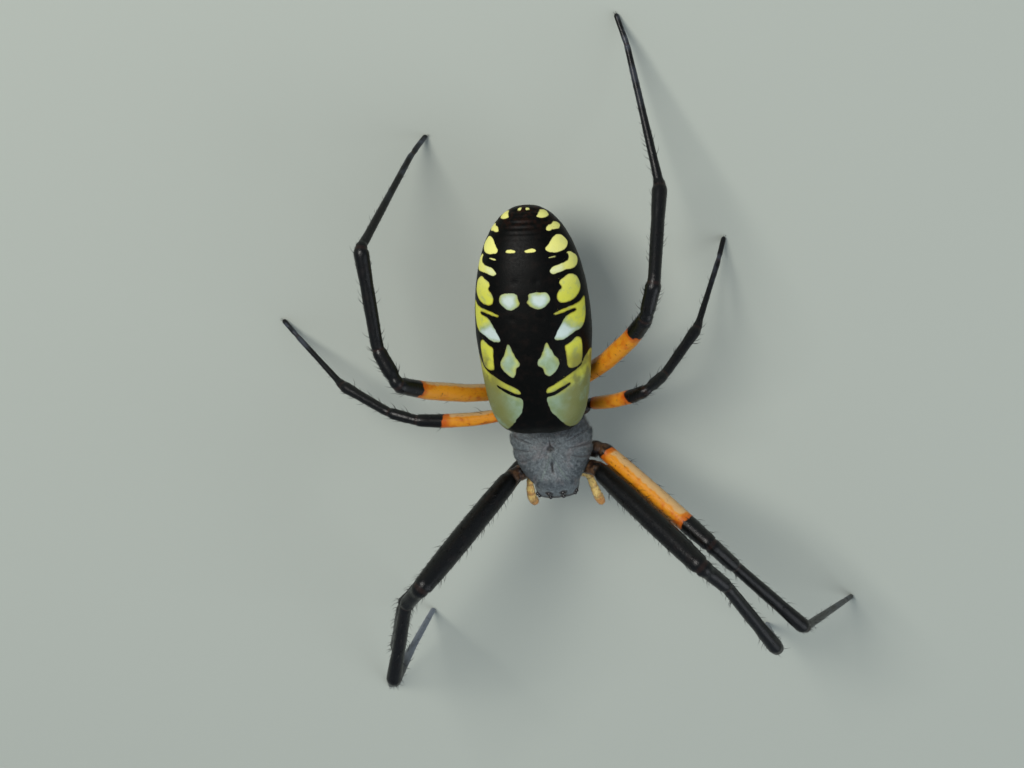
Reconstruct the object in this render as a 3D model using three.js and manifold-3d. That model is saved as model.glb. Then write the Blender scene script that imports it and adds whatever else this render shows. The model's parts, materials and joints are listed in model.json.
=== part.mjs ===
/*
 * A yellow garden spider, Argiope aurantia: an adult female, standing, as a still life-size model.
 *
 * Lengths are in millimetres, +Z is up, and the floor is z = 0. The spider faces -Y, so +X is its
 * own left side. A body part's own frame has -Y ahead, +Z towards the back and +X to its left. A leg
 * segment's own frame has +Y along the segment, from the joint nearer the body, and +Z on its upper side.
 */
import * as THREE from 'three';
import { mergeVertices } from 'three/addons/utils/BufferGeometryUtils.js';
import Module from 'manifold-3d';

const wasm = await Module();
wasm.setup();

// Driving dimensions. Most others are shares of the carapace's width, as in a description of a species.
const carapaceWidth = 6.6;
const carapaceLength = 7.5;
const abdomenLength = 17.2;
const abdomenWidth = 8.7;
const abdomenDepth = 7.0;
const bodyHeight = 7.4; // from the floor to the plane of the hips
const bodyPitch = 12; // degrees, head up
const headHeading = 8; // degrees from -Y towards the spider's left
const abdomenHeading = 5;

const thinnest = 0.25; // the least radius of a leg or palp
const jointGap = 0.08; // between two segments where they meet
const footDrop = 0.17; // from the middle of a leg's tip to the flat under it
const rootHeight = -0.3; // of the coxae's roots above the middle of the carapace
const smallSides = 6; // of the faceted limbs and eyes that are smaller than a leg

const degrees = Math.PI / 180;

// Each pair of legs: segment lengths and the radius that the outlines below are shares of, as shares of the
// carapace's width, how many times that radius the femur's own is, the place of the coxa's root ahead of and
// beside the middle of the carapace, in the same shares, and how far the femur's middle bows forward, as a
// share of its length.
const pairs = {
  1: {
    lengths: { coxa: 0.35, femur: 1.84, patella: 0.475, tibia: 1.25, metatarsus: 1.74, tarsus: 0.335 },
    radius: 0.118, stoutness: 1.2, ahead: 0.25, beside: 0.13, bow: 0,
  },
  2: {
    lengths: { coxa: 0.355, femur: 1.78, patella: 0.455, tibia: 1.21, metatarsus: 1.62, tarsus: 0.32 },
    radius: 0.116, stoutness: 1.06, ahead: 0.11, beside: 0.19, bow: 0,
  },
  3: {
    lengths: { coxa: 0.32, femur: 1.05, patella: 0.335, tibia: 0.685, metatarsus: 0.855, tarsus: 0.265 },
    radius: 0.09, stoutness: 1, ahead: -0.24, beside: 0.2, bow: 0.04,
  },
  4: {
    lengths: { coxa: 0.39, femur: 1.79, patella: 0.455, tibia: 1.14, metatarsus: 1.62, tarsus: 0.35 },
    radius: 0.114, stoutness: 1, ahead: -0.37, beside: 0.16, bow: 0.04,
  },
};

// How each leg is held, from the coxa out. Headings are degrees outwards from straight ahead, and slopes
// are degrees up from the floor. The last two segments slope down to the floor by what is left.
const stance = {
  left: {
    1: { headings: [98, 67, 41, 30, -7, -6], slopes: [16, 43, -18, -19] },
    2: { headings: [95, 65, 40, 43, 44, 45], slopes: [-15, 37, -14, -9] },
    3: { headings: [133, 127, 113, 136, 160, 165], slopes: [-22, 37, -49, -45] },
    4: { headings: [163, 147, 169, 179, 198, 206], slopes: [-8, 32, 2, -46] },
  },
  right: {
    1: { headings: [77, 52, 30, 9, -46, -47], slopes: [6, 50, -28, -13] },
    2: { headings: [36, 47, 41, 9, 10, 12], slopes: [-44, 37, 20, -36] },
    3: { headings: [115, 87, 98, 104, 121, 123], slopes: [-6, 8, -13, -31] },
    4: { headings: [139, 118, 148, 170, 219, 237], slopes: [-3, 42, -14, -12] },
  },
};

// Outlines of the leg segments: [share of the length, share of the leg's radius].
const outlines = {
  coxa: [[0, 0.9], [0.35, 1.05], [0.62, 0.85], [0.8, 0.92], [1, 0.78]],
  femur: [[0, 0.8], [0.12, 0.92], [0.4, 1], [0.75, 1], [1, 0.86]],
  patella: [[0, 0.74], [0.45, 0.84], [1, 0.74]],
  tibia: [[0, 0.66], [0.3, 0.73], [0.65, 0.74], [0.92, 0.84], [1, 0.78]],
  metatarsus: [[0, 0.56], [0.15, 0.5], [0.55, 0.42], [1, 0.36]],
  tarsus: [[0, 0.36], [0.5, 0.35], [1, 0.33]],
};

// The pedipalps, from the trochanter out: lengths in millimetres, and how each side is held, as for the legs.
const palpLengths = [1.3, 0.85, 1.0, 1.6];
const palpRadii = [0.36, 0.36, 0.38, 0.44];
const palpOutline = [[0, 0.9], [0.5, 1], [1, 0.85]];
const palpRoot = { beside: 1, ahead: 2.25, below: 1.2 };
const palpStance = {
  left: { headings: [72, 16, 12, 8], slopes: [-12, -5, -15, -48] },
  right: { headings: [75, 6, 2, -2], slopes: [-12, -8, -20, -60] },
};

const colours = {
  abdomen: { color: 0x2a2a18, roughness: 0.45 },
  carapace: { color: 0x8e908f, roughness: 0.7 },
  blackLeg: { color: 0x151412, roughness: 0.35 },
  orangeLeg: { color: 0xd97a1c, roughness: 0.4 },
  brown: { color: 0x5a4636, roughness: 0.5 },
  palp: { color: 0xd4a24a, roughness: 0.45 },
  eye: { color: 0x0a0807, roughness: 0.1 },
};

// ---- solids -------------------------------------------------------------------------------------

/** The geometry with only shared positions left, and no collapsed triangles. */
function bare(geometry) {
  const copy = geometry.clone();
  copy.deleteAttribute('normal');
  copy.deleteAttribute('uv');
  const merged = mergeVertices(copy, 1e-5);
  const corners = merged.index.array;
  const kept = [];
  for (let i = 0; i < corners.length; i += 3) {
    const [a, b, c] = corners.slice(i, i + 3);
    if (a !== b && b !== c && c !== a) kept.push(a, b, c);
  }
  merged.setIndex(kept);
  return merged;
}

function toSolid({ attributes, index }) {
  return new wasm.Manifold(new wasm.Mesh({
    numProp: 3,
    vertProperties: Float32Array.from(attributes.position.array),
    triVerts: Uint32Array.from(index.array),
  }));
}

function toGeometry(solid) {
  const mesh = solid.getMesh();
  const geometry = new THREE.BufferGeometry();
  geometry.setAttribute('position', new THREE.BufferAttribute(Float32Array.from(mesh.vertProperties), 3));
  geometry.setIndex(Array.from(mesh.triVerts));
  return geometry;
}

/** The geometry grown outwards by a gap all over. */
function swollen(geometry, gap) {
  const grown = geometry.clone();
  grown.computeVertexNormals();
  const { position, normal } = grown.attributes;
  for (let i = 0; i < position.count; i += 1) {
    const out = new THREE.Vector3().fromBufferAttribute(normal, i).multiplyScalar(gap);
    position.setXYZ(i, position.getX(i) + out.x, position.getY(i) + out.y, position.getZ(i) + out.z);
  }
  return grown;
}

/** Joins geometries that share a frame into one. */
function joined(geometries) {
  return toGeometry(geometries.map(toSolid).reduce((whole, solid) => whole.add(solid)));
}

/** The largest of the bodies that a solid is made of. */
function largest(solid) {
  return solid.decompose().reduce((best, body) => (body.volume() > best.volume() ? body : best));
}

/** Cuts a mesh back from its neighbours, to leave a gap between them. All keep their places. */
function cutBack(mesh, neighbours, gap = jointGap) {
  mesh.updateWorldMatrix(true, false);
  const inward = mesh.matrixWorld.clone().invert();
  let solid = toSolid(mesh.geometry);
  for (const neighbour of neighbours) {
    neighbour.updateWorldMatrix(true, false);
    const cutter = swollen(neighbour.geometry, gap);
    cutter.applyMatrix4(new THREE.Matrix4().multiplyMatrices(inward, neighbour.matrixWorld));
    solid = solid.subtract(toSolid(cutter));
  }
  mesh.geometry = toGeometry(largest(solid));
}

/** A closed form made from a sphere with its poles ahead and behind: place(along, around) is each point. */
function sculpted(sides, rings, place) {
  const geometry = bare(new THREE.SphereGeometry(1, sides, rings));
  const position = geometry.attributes.position;
  for (let i = 0; i < position.count; i += 1) {
    const point = new THREE.Vector3().fromBufferAttribute(position, i);
    const along = Math.acos(THREE.MathUtils.clamp(-point.y, -1, 1));
    const around = Math.atan2(point.z, point.x);
    position.setXYZ(i, ...place(along, around));
  }
  return geometry;
}

/** A round limb along +Y with domed ends centred on its joints. The bow moves its middle towards +X. */
function limb(length, outline, radius, { bow = 0, sides = 8 } = {}) {
  const flank = outline.map(
    ([along, share]) => new THREE.Vector2(Math.max(share * radius, thinnest), along * length),
  );
  const start = flank[0].x;
  const end = flank[flank.length - 1].x;
  const shoulder = Math.SQRT1_2; // halfway round the dome at the far end
  const profile = [
    new THREE.Vector2(0, -start),
    ...flank,
    new THREE.Vector2(end * shoulder, length + end * shoulder),
    new THREE.Vector2(0, length + end),
  ];
  const geometry = bare(new THREE.LatheGeometry(profile, sides));
  const position = geometry.attributes.position;
  for (let i = 0; i < position.count; i += 1) {
    const share = THREE.MathUtils.clamp(position.getY(i) / length, 0, 1);
    position.setX(i, position.getX(i) + bow * length * 4 * share * (1 - share));
  }
  return geometry;
}

// ---- directions and scene graph -------------------------------------------------------------------

/** The unit vector of a heading (degrees from -Y towards +X) and a slope (degrees up). */
function direction(heading, slope) {
  const level = Math.cos(slope * degrees);
  return new THREE.Vector3(
    Math.sin(heading * degrees) * level,
    -Math.cos(heading * degrees) * level,
    Math.sin(slope * degrees),
  );
}

/** The turn that takes +Y to a heading and slope, and keeps +Z on the upper side. */
function aimed(heading, slope) {
  const along = direction(heading, slope);
  const upper = direction(heading, slope + 90);
  const across = new THREE.Vector3().crossVectors(along, upper);
  return new THREE.Quaternion().setFromRotationMatrix(new THREE.Matrix4().makeBasis(across, along, upper));
}

function piece(parent, name, look, geometry) {
  const mesh = new THREE.Mesh(geometry, new THREE.MeshStandardMaterial(look));
  mesh.name = name;
  parent.add(mesh);
  return mesh;
}

const spider = new THREE.Group();
const prosoma = new THREE.Group();
const opisthosoma = new THREE.Group();
spider.add(prosoma, opisthosoma);

prosoma.position.set(0, 0, bodyHeight);
prosoma.quaternion.copy(aimed(headHeading + 180, -bodyPitch));

// ---- the front of the body ------------------------------------------------------------------------

// The carapace in plan and from the side, from the front edge to the rear one:
// [share of the length, half-width, height of the back above the rim], in shares of its width.
const carapaceStations = [
  [0, 0.28, 0.1],
  [0.1, 0.285, 0.22],
  [0.2, 0.285, 0.28],
  [0.27, 0.345, 0.28],
  [0.38, 0.41, 0.27],
  [0.62, 0.5, 0.28],
  [0.85, 0.43, 0.19],
  [1, 0.25, 0.08],
];
const carapaceFront = 0.53; // share of the length that is ahead of the middle of the hips
const rimHeight = 0.03; // of the carapace's rim above the hips, in shares of its width
const sternumDepth = 0.17;

const carapaceSpline = new THREE.CatmullRomCurve3(
  carapaceStations.map(([along, halfWidth, height]) => new THREE.Vector3(along, halfWidth, height)),
);

/** A point of the carapace's or sternum's surface, in the prosoma's frame. */
function carapacePoint(along, around) {
  const share = (1 - Math.cos(along)) / 2;
  const station = carapaceSpline.getPoint(share);
  const closing = Math.sin(along) ** 0.3;
  const across = Math.sign(Math.cos(around)) * Math.abs(Math.cos(around)) ** 0.8;
  const lift = Math.sin(around);
  const height = lift > 0 ? station.z : sternumDepth;
  return [
    carapaceWidth * station.y * closing * across,
    carapaceLength * (station.x - carapaceFront),
    carapaceWidth * (rimHeight + height * closing * lift),
  ];
}

const cephalothorax = piece(prosoma, 'cephalothorax', colours.carapace, sculpted(20, 12, carapacePoint));

// The eight eyes, in two rows of four: degrees back from the front of the head, degrees from its side over
// the top, and radius.
const eyes = {
  front_middle: { back: 31, round: 76, radius: 0.19 },
  rear_middle: { back: 43, round: 76, radius: 0.2 },
  front_side: { back: 33, round: 34, radius: 0.15 },
  rear_side: { back: 40, round: 30, radius: 0.16 },
};

function eyeMesh(side, name, { back, round, radius }) {
  const around = side === 'left' ? round : 180 - round;
  const place = new THREE.Vector3(...carapacePoint(back * degrees, around * degrees));
  const ball = bare(new THREE.SphereGeometry(radius, smallSides, smallSides - 1));
  const eye = piece(prosoma, `eye_${name}_${side}`, colours.eye, ball);
  eye.position.copy(place);
  cutBack(eye, [cephalothorax], jointGap / 4);
}

for (const side of ['left', 'right']) {
  for (const [name, eye] of Object.entries(eyes)) eyeMesh(side, name, eye);
}

// ---- legs -----------------------------------------------------------------------------------------

const sign = { left: 1, right: -1 };

/** Turns a prosoma point into the spider's frame. */
function fromProsoma(x, y, z) {
  return new THREE.Vector3(x, y, z).applyQuaternion(prosoma.quaternion).add(prosoma.position);
}

/** The heading, slope and length of the way from one point to another. */
function wayBetween(from, to) {
  const way = new THREE.Vector3().subVectors(to, from);
  const length = way.length();
  return { heading: Math.atan2(way.x, -way.y) / degrees, slope: Math.asin(way.z / length) / degrees, length };
}

/** Where a leg's joints are, from the coxa's root to the tip, and the turn of each segment between them. */
function legJoints(side, number, { lengths, ahead, beside }) {
  const { headings, slopes } = stance[side][number];
  const reach = (lengths.metatarsus + lengths.tarsus) * carapaceWidth;
  const joints = [fromProsoma(sign[side] * beside * carapaceWidth, -ahead * carapaceWidth, rootHeight)];
  const turns = [];
  Object.values(lengths).forEach((length, i) => {
    const slope = slopes[i] ?? -Math.asin((joints[slopes.length].z - footDrop) / reach) / degrees;
    const heading = sign[side] * headings[i];
    turns.push(aimed(heading, slope));
    joints.push(direction(heading, slope).multiplyScalar(length * carapaceWidth).add(joints[i]));
  });
  return { joints, turns };
}

/** The patella and tibia as one piece in the patella's frame, as they hardly move on each other. */
function patellaTibia(lengths, radius, patellaTurn, tibiaTurn) {
  const patellaLength = lengths.patella * carapaceWidth;
  const patella = limb(patellaLength, outlines.patella, radius);
  const tibia = limb(lengths.tibia * carapaceWidth, outlines.tibia, radius);
  tibia.applyQuaternion(patellaTurn.clone().invert().multiply(tibiaTurn));
  tibia.translate(0, patellaLength, 0);
  return joined([patella, tibia]);
}

/** The meshes of one leg, from the coxa out. */
function legMeshes(parent, side, number, pair) {
  const { lengths } = pair;
  const radius = pair.radius * carapaceWidth;
  const { joints, turns } = legJoints(side, number, pair);
  const place = (name, look, geometry, i) => {
    const mesh = piece(parent, `leg_${number}_${side}_${name}`, look, geometry);
    mesh.position.copy(joints[i]);
    mesh.quaternion.copy(turns[i]);
    return mesh;
  };
  const shape = (name, more) => limb(lengths[name] * carapaceWidth, outlines[name], radius, more);
  const femurBow = sign[side] * pair.bow;
  const femurRadius = radius * pair.stoutness;
  const femur = limb(lengths.femur * carapaceWidth, outlines.femur, femurRadius, { bow: femurBow });
  const femurLook = number === '1' ? colours.blackLeg : colours.orangeLeg;
  return [
    place('coxa', colours.brown, shape('coxa'), 0),
    place('femur', femurLook, femur, 1),
    place('patella_tibia', colours.blackLeg, patellaTibia(lengths, radius, turns[2], turns[3]), 2),
    place('metatarsus', colours.blackLeg, shape('metatarsus'), 4),
    place('tarsus', colours.blackLeg, shape('tarsus', { sides: smallSides }), 5),
  ];
}

/** A slab wider than the spider, whose top is the floor, to cut the feet flat. */
function floorSlab() {
  const width = 12 * carapaceWidth;
  const thickness = 4;
  const slab = new THREE.Mesh(bare(new THREE.BoxGeometry(width, width, thickness)));
  slab.position.z = -thickness / 2;
  return slab;
}

const coxae = [];
for (const side of ['left', 'right']) {
  for (const [number, pair] of Object.entries(pairs)) {
    const leg = new THREE.Group();
    spider.add(leg);
    const segments = legMeshes(leg, side, number, pair);
    const [coxa] = segments;
    for (let i = segments.length - 1; i > 0; i -= 1) cutBack(segments[i], [segments[i - 1]]);
    cutBack(segments[1], [cephalothorax, ...coxae]);
    cutBack(segments[segments.length - 1], [floorSlab()], 0);
    cutBack(coxa, [cephalothorax, ...coxae]);
    coxae.push(coxa);
  }
}

// ---- jaws and pedipalps ---------------------------------------------------------------------------

// The two stout jaws hang side by side under the front of the head, each with a fang folded in at its end.
const jaw = {
  length: 2.2, radius: 0.68, outline: [[0, 0.8], [0.35, 1], [0.8, 0.8], [1, 0.62]],
  heading: 4, slope: -82, beside: 0.67, ahead: 3.15, below: 0.25,
};
const fang = {
  length: 0.8, radius: 0.3, outline: [[0, 1], [1, 0.6]],
  heading: 220, slope: -15, beside: 0.73, ahead: 3.2, below: 2.55,
};

/** A jaw or fang of one side, at its place in the prosoma. */
function mouthpart(side, name, look, sides, form) {
  const geometry = limb(form.length, form.outline, form.radius, { sides });
  const mesh = piece(prosoma, `${name}_${side}`, look, geometry);
  mesh.position.set(sign[side] * form.beside, -form.ahead, -form.below);
  mesh.quaternion.copy(aimed(sign[side] * form.heading, form.slope));
  return mesh;
}

const jaws = [];
for (const side of ['left', 'right']) {
  const chelicera = mouthpart(side, 'chelicera', colours.palp, 8, jaw);
  cutBack(chelicera, [cephalothorax, ...jaws]);
  jaws.push(chelicera);
  cutBack(mouthpart(side, 'fang', colours.eye, smallSides, fang), jaws);
}

/** The four segments of a pedipalp that show, joined, in the prosoma's frame. */
function palpGeometry(side) {
  const { headings, slopes } = palpStance[side];
  const from = new THREE.Vector3(sign[side] * palpRoot.beside, -palpRoot.ahead, -palpRoot.below);
  const segments = palpLengths.map((length, i) => {
    const segment = limb(length, palpOutline, palpRadii[i], { sides: smallSides });
    const heading = sign[side] * headings[i];
    segment.applyQuaternion(aimed(heading, slopes[i]));
    segment.translate(from.x, from.y, from.z);
    from.add(direction(heading, slopes[i]).multiplyScalar(length));
    return segment;
  });
  return joined(segments);
}

for (const side of ['left', 'right']) {
  const palp = piece(prosoma, `pedipalp_${side}`, colours.palp, palpGeometry(side));
  cutBack(palp, [cephalothorax, ...jaws, ...coxae]);
}

// ---- the rear of the body -------------------------------------------------------------------------

const widestShare = 0.45; // of the abdomen's length, from the front, where it is widest
const backShare = 0.46; // of its depth that is above its middle line
const abdomenMiddle = [-1.4, 11.4, 9.2];
// How square the abdomen's ends are, as powers, and how much narrower its front is than its middle.
const planShape = { front: 5, rear: 2.2, taper: 0.17 };
const sideShape = { front: 2.6, rear: 2.2, taper: 0.1 };

/** How full the abdomen is at a share of its length, from 0 at its ends to 1 where it is widest. */
function fullness(share, { front, rear, taper }) {
  if (share > widestShare) {
    const out = (share - widestShare) / (1 - widestShare);
    return (1 - out ** rear) ** (1 / rear);
  }
  const out = (widestShare - share) / widestShare;
  return (1 - taper * out) * (1 - out ** front) ** (1 / front);
}

/** A point of the abdomen's surface, in its own frame: blunt shoulders ahead and an egg's taper behind. */
function abdomenPoint(along, around) {
  const share = (1 - Math.cos(along)) / 2;
  const wide = (abdomenWidth / 2) * fullness(share, planShape);
  const deep = abdomenDepth * fullness(share, sideShape);
  const across = Math.sign(Math.cos(around)) * Math.abs(Math.cos(around)) ** 0.9;
  const lift = Math.sin(around);
  return [
    wide * across,
    abdomenLength * (share - 0.5),
    deep * lift * (lift > 0 ? backShare : 1 - backShare),
  ];
}

opisthosoma.position.set(...abdomenMiddle);
opisthosoma.quaternion.copy(aimed(abdomenHeading + 180, -bodyPitch));
const abdomen = piece(opisthosoma, 'abdomen', colours.abdomen, sculpted(20, 15, abdomenPoint));

// The spinnerets are a short cone of six nipples under the rear of the abdomen.
const spinneretShare = 0.77; // of the abdomen's length, from the front
const spinneretSlope = -70;
const mound = { length: 0.6, radius: 0.75, outline: [[0, 1], [1, 0.8]] };
const nipple = { count: 6, length: 0.75, radius: 0.3, lean: -15, out: 0.4, outline: [[0, 1], [1, 0.7]] };

function spinneretGeometry() {
  const cones = [limb(mound.length, mound.outline, mound.radius)];
  for (let i = 0; i < nipple.count; i += 1) {
    const cone = limb(nipple.length, nipple.outline, nipple.radius, { sides: smallSides });
    cone.rotateX(nipple.lean * degrees);
    cone.translate(0, mound.length, nipple.out);
    cone.rotateY(((i + 0.5) / nipple.count) * 2 * Math.PI);
    cones.push(cone);
  }
  return joined(cones);
}

const spinnerets = piece(opisthosoma, 'spinnerets', colours.brown, spinneretGeometry());
spinnerets.position.set(...abdomenPoint(Math.acos(1 - 2 * spinneretShare), -Math.PI / 2));
spinnerets.quaternion.copy(aimed(180, spinneretSlope));
cutBack(spinnerets, [abdomen]);

// The pedicel is the waist between the two, from inside the carapace's rear to inside the abdomen's front.
const waist = {
  radius: 0.5, outline: [[0, 1], [0.5, 0.85], [1, 1]],
  front: [0, 2.9, 0.35], rear: [0, -7.4, -1.6],
};

opisthosoma.updateWorldMatrix(true, false);
const waistFront = fromProsoma(...waist.front);
const waistRear = opisthosoma.localToWorld(new THREE.Vector3(...waist.rear));
const waistWay = wayBetween(waistFront, waistRear);
const pedicel = piece(spider, 'pedicel', colours.brown, limb(waistWay.length, waist.outline, waist.radius));
pedicel.position.copy(waistFront);
pedicel.quaternion.copy(aimed(waistWay.heading, waistWay.slope));
cutBack(pedicel, [cephalothorax, abdomen]);

// The origin is under the middle of the whole spider, on the floor.
const extent = new THREE.Box3().setFromObject(spider, true);
const middle = extent.getCenter(new THREE.Vector3());
spider.position.set(-middle.x, -middle.y, 0);

export default spider;
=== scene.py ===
import json
import math

import bpy
import numpy as np
from mathutils import Matrix, Vector
from mathutils.bvhtree import BVHTree
from mathutils.kdtree import KDTree

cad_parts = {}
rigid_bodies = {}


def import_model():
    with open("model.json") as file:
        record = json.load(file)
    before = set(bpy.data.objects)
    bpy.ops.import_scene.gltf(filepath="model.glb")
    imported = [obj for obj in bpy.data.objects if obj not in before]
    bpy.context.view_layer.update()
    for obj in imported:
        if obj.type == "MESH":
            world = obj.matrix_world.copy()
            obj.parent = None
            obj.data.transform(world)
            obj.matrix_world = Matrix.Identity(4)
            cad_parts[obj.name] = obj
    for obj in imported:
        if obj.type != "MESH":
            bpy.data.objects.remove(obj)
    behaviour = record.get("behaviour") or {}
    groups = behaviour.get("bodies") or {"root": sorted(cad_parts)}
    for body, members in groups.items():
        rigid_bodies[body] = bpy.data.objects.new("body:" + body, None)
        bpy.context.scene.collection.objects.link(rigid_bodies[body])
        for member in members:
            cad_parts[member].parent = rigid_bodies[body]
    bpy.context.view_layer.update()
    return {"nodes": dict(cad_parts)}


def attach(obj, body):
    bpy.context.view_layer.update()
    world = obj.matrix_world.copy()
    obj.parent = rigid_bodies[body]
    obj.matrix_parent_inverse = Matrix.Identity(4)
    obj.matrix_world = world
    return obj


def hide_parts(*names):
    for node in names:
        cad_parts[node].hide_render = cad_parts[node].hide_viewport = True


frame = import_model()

# A yellow garden spider, Argiope aurantia, rebuilt over its CAD solids. Lengths are in metres, +Z is up and
# the spider faces -Y, so +X is its own left side.

mm = 0.001
up_z = np.array([0.0, 0.0, 1.0])
coat_depth = 0.03 * mm  # the skin lies this far inside the solids
SIDES = {"left": 1, "right": -1}
PAIRS = (1, 2, 3, 4)

# The parts of the skin, by the number that marks their faces.
ABDOMEN, PROSOMA, LEG, MOUTH, REAR = 0, 1, 2, 3, 4

# Where each part's unwrap goes on the skin's map: (left, bottom, right, top).
MAP_ABDOMEN = (0.0, 0.0, 0.62, 0.5)
MAP_PROSOMA = (0.0, 0.51, 0.62, 0.79)
MAP_LEGS = (0.63, 0.0, 1.0, 1.0)
MAP_SMALL = (0.0, 0.8, 0.62, 1.0)
MAP_GAP = 0.004
SMALL_COLUMNS, SMALL_ROWS = 10, 3

# What each vertex of the skin knows: how far inside a bright or a pale mark it is, in millimetres, how deep
# in a groove or joint, from 0 to 1, how far along its part, and how far up it faces.
FIELDS = ("mark", "pale", "groove", "along", "upper")
# At the mouth and the rear, "along" tells the pieces apart too: it starts from 0 on palps and spinnerets,
# and from these on the others.
ALONG_JAW, ALONG_MAXILLA = 2.0, 4.0
ALONG_WAIST, ALONG_PLATE = 2.0, 3.0


# ---- measuring the solids ----

def read(collection, key, kind, width=1):
    """One property of all of a mesh's elements, as an array with so many values for each."""
    values = np.empty(len(collection) * width, kind)
    collection.foreach_get(key, values)
    return values if width == 1 else values.reshape(-1, width)


def vectors(collection, key):
    return read(collection, key, np.float32, 3).astype(float)


def corners(node):
    """A CAD node's vertices, as an array."""
    return vectors(frame["nodes"][node].data.vertices, "co")


def triangles(node):
    """A CAD node's triangles, as an array of three corners each."""
    mesh = frame["nodes"][node].data
    mesh.calc_loop_triangles()
    return corners(node)[read(mesh.loop_triangles, "vertices", np.int32, 3)]


def length_of(vector):
    return np.linalg.norm(vector, axis=-1, keepdims=True)


def unit(vector):
    vector = np.asarray(vector, float)
    return vector / np.maximum(length_of(vector), 1e-12)


def section(corner, origin, axis, within):
    """The middle and mean radius of the cut of some triangles by a plane, near a point, or None."""
    near = np.linalg.norm(corner.mean(1) - origin, axis=1) < within
    height = (corner - origin) @ axis
    crossing = near & (height.min(1) < 0) & (height.max(1) > 0)
    corner, height = corner[crossing], height[crossing]
    if len(corner) < 3:
        return None
    after, level = np.roll(corner, -1, axis=1), np.roll(height, -1, axis=1)
    share = height / np.where(height == level, 1, height - level)
    crossed = (height < 0) != (level < 0)
    ends = np.where(crossed[..., None], corner + share[..., None] * (after - corner), np.nan)
    low, high = np.nanmin(ends, 1), np.nanmax(ends, 1)
    span = np.linalg.norm(high - low, axis=1)
    middles = np.nanmean(ends, 1)
    centre = (middles * span[:, None]).sum(0) / span.sum()
    radius = (np.linalg.norm(middles - centre, axis=1) * span).sum() / span.sum()
    return centre, radius


def far_end(node, beyond):
    """The joint inside a limb's domed far end, its radius, and the way that the limb runs there."""
    points, corner = corners(node), triangles(node)
    middle = points.mean(0)
    axis = np.linalg.svd(points - middle, full_matrices=False)[2][0]
    if (middle - beyond) @ axis < 0:
        axis = -axis

    def cut(back):
        return section(corner, tip - axis * back, axis, 3 * mm)

    for _ in range(3):
        tip = points[np.argmax(points @ axis)]
        _, radius = cut(0.3 * mm)
        _, radius = cut(radius * 1.3)
        (inner, _), (outer, _) = cut(radius * 3.2), cut(radius * 1.4)
        axis = unit(outer - inner)
    return outer + axis * radius * 0.4, radius, axis


def traced(node, beyond, stop, step=0.3 * mm):
    """The middle line of a limb and its radii, from near the joint it starts at to its far joint."""
    joint, radius, way = far_end(node, beyond)
    corner = triangles(node)
    line, radii = [joint], [radius]
    while np.linalg.norm(line[-1] - beyond) > stop and len(line) < 100:
        found = section(corner, line[-1] - way * step, way, 1.6 * mm)
        if found is None or found[1] < 0.6 * radii[-1]:
            break
        way = unit(0.5 * way + 0.5 * unit(line[-1] - found[0]))
        line.append(found[0])
        radii.append(found[1])
    return line[::-1], radii[::-1]


LEG_NODES = ("coxa", "femur", "patella_tibia", "metatarsus", "tarsus")
PATELLA_SHARE = {1: 0.275, 2: 0.273, 3: 0.328, 4: 0.285}  # of the patella and tibia together


def distances(line):
    """How far along a line each of its points is."""
    steps = np.linalg.norm(np.diff(line, axis=0), axis=1)
    return np.concatenate([[0], np.cumsum(steps)])


def leg_line(side, number, body):
    """A leg's middle line and radii from its root inside the body, and where its joints are along it."""
    beyond = corners("cephalothorax").mean(0)
    line, radii, joints = [], [], []
    for name in LEG_NODES:
        node = f"leg_{number}_{side}_{name}"
        stop = 1.3 * (radii[-1] if radii else 1.0 * mm)
        points, widths = traced(node, beyond, stop)
        if not line:
            joint, _, way = far_end(node, beyond)
            hit = body.ray_cast(Vector(joint), Vector(-way))
            inside = Vector(-way) * 1.3 * mm
            root = np.array(hit[0] + inside) if hit[0] else beyond
            widths = list(np.maximum(widths, 0.9 * np.max(widths)))
            line, radii, joints = [root], [widths[0]], [0]
            keep = [i for i, point in enumerate(points) if (point - root) @ way > 0.4 * mm]
            points = [points[i] for i in keep]
            widths = [widths[i] for i in keep]
        line += points
        radii += widths
        joints.append(len(line) - 1)
        beyond = line[-1]
    along = distances(np.array(line))
    joints = list(along[joints])
    knee = joints[2] + PATELLA_SHARE[number] * (joints[3] - joints[2])
    return np.array(line), np.array(radii), along, joints[:3] + [knee] + joints[3:]


# ---- parametric forms ----

class Form:
    """A closed mesh in rings from a front to a rear pole, with one value of each field at each vertex."""

    def __init__(self, part, grid, place, lie=None):
        """The grid holds rings of points; place is the form's own part of the map."""
        rings, sides = grid.shape[:2]
        poles = [grid[0].mean(0), grid[-1].mean(0)]
        self.part = part
        self.points = np.concatenate([grid.reshape(-1, 3), poles])
        self.faces, self.map = ring_faces(rings, sides, place)
        self.fields = {name: np.zeros(len(self.points)) for name in FIELDS}
        self.lie = np.zeros((len(self.points), 3))
        if lie is not None:
            self.lie[:-2] = lie.reshape(-1, 3)

    def set_fields(self, **fields):
        """Values over the rings; the poles take their ring's mean."""
        for name, values in fields.items():
            self.fields[name] = np.concatenate([values.reshape(-1), [values[0].mean(), values[-1].mean()]])


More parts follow.
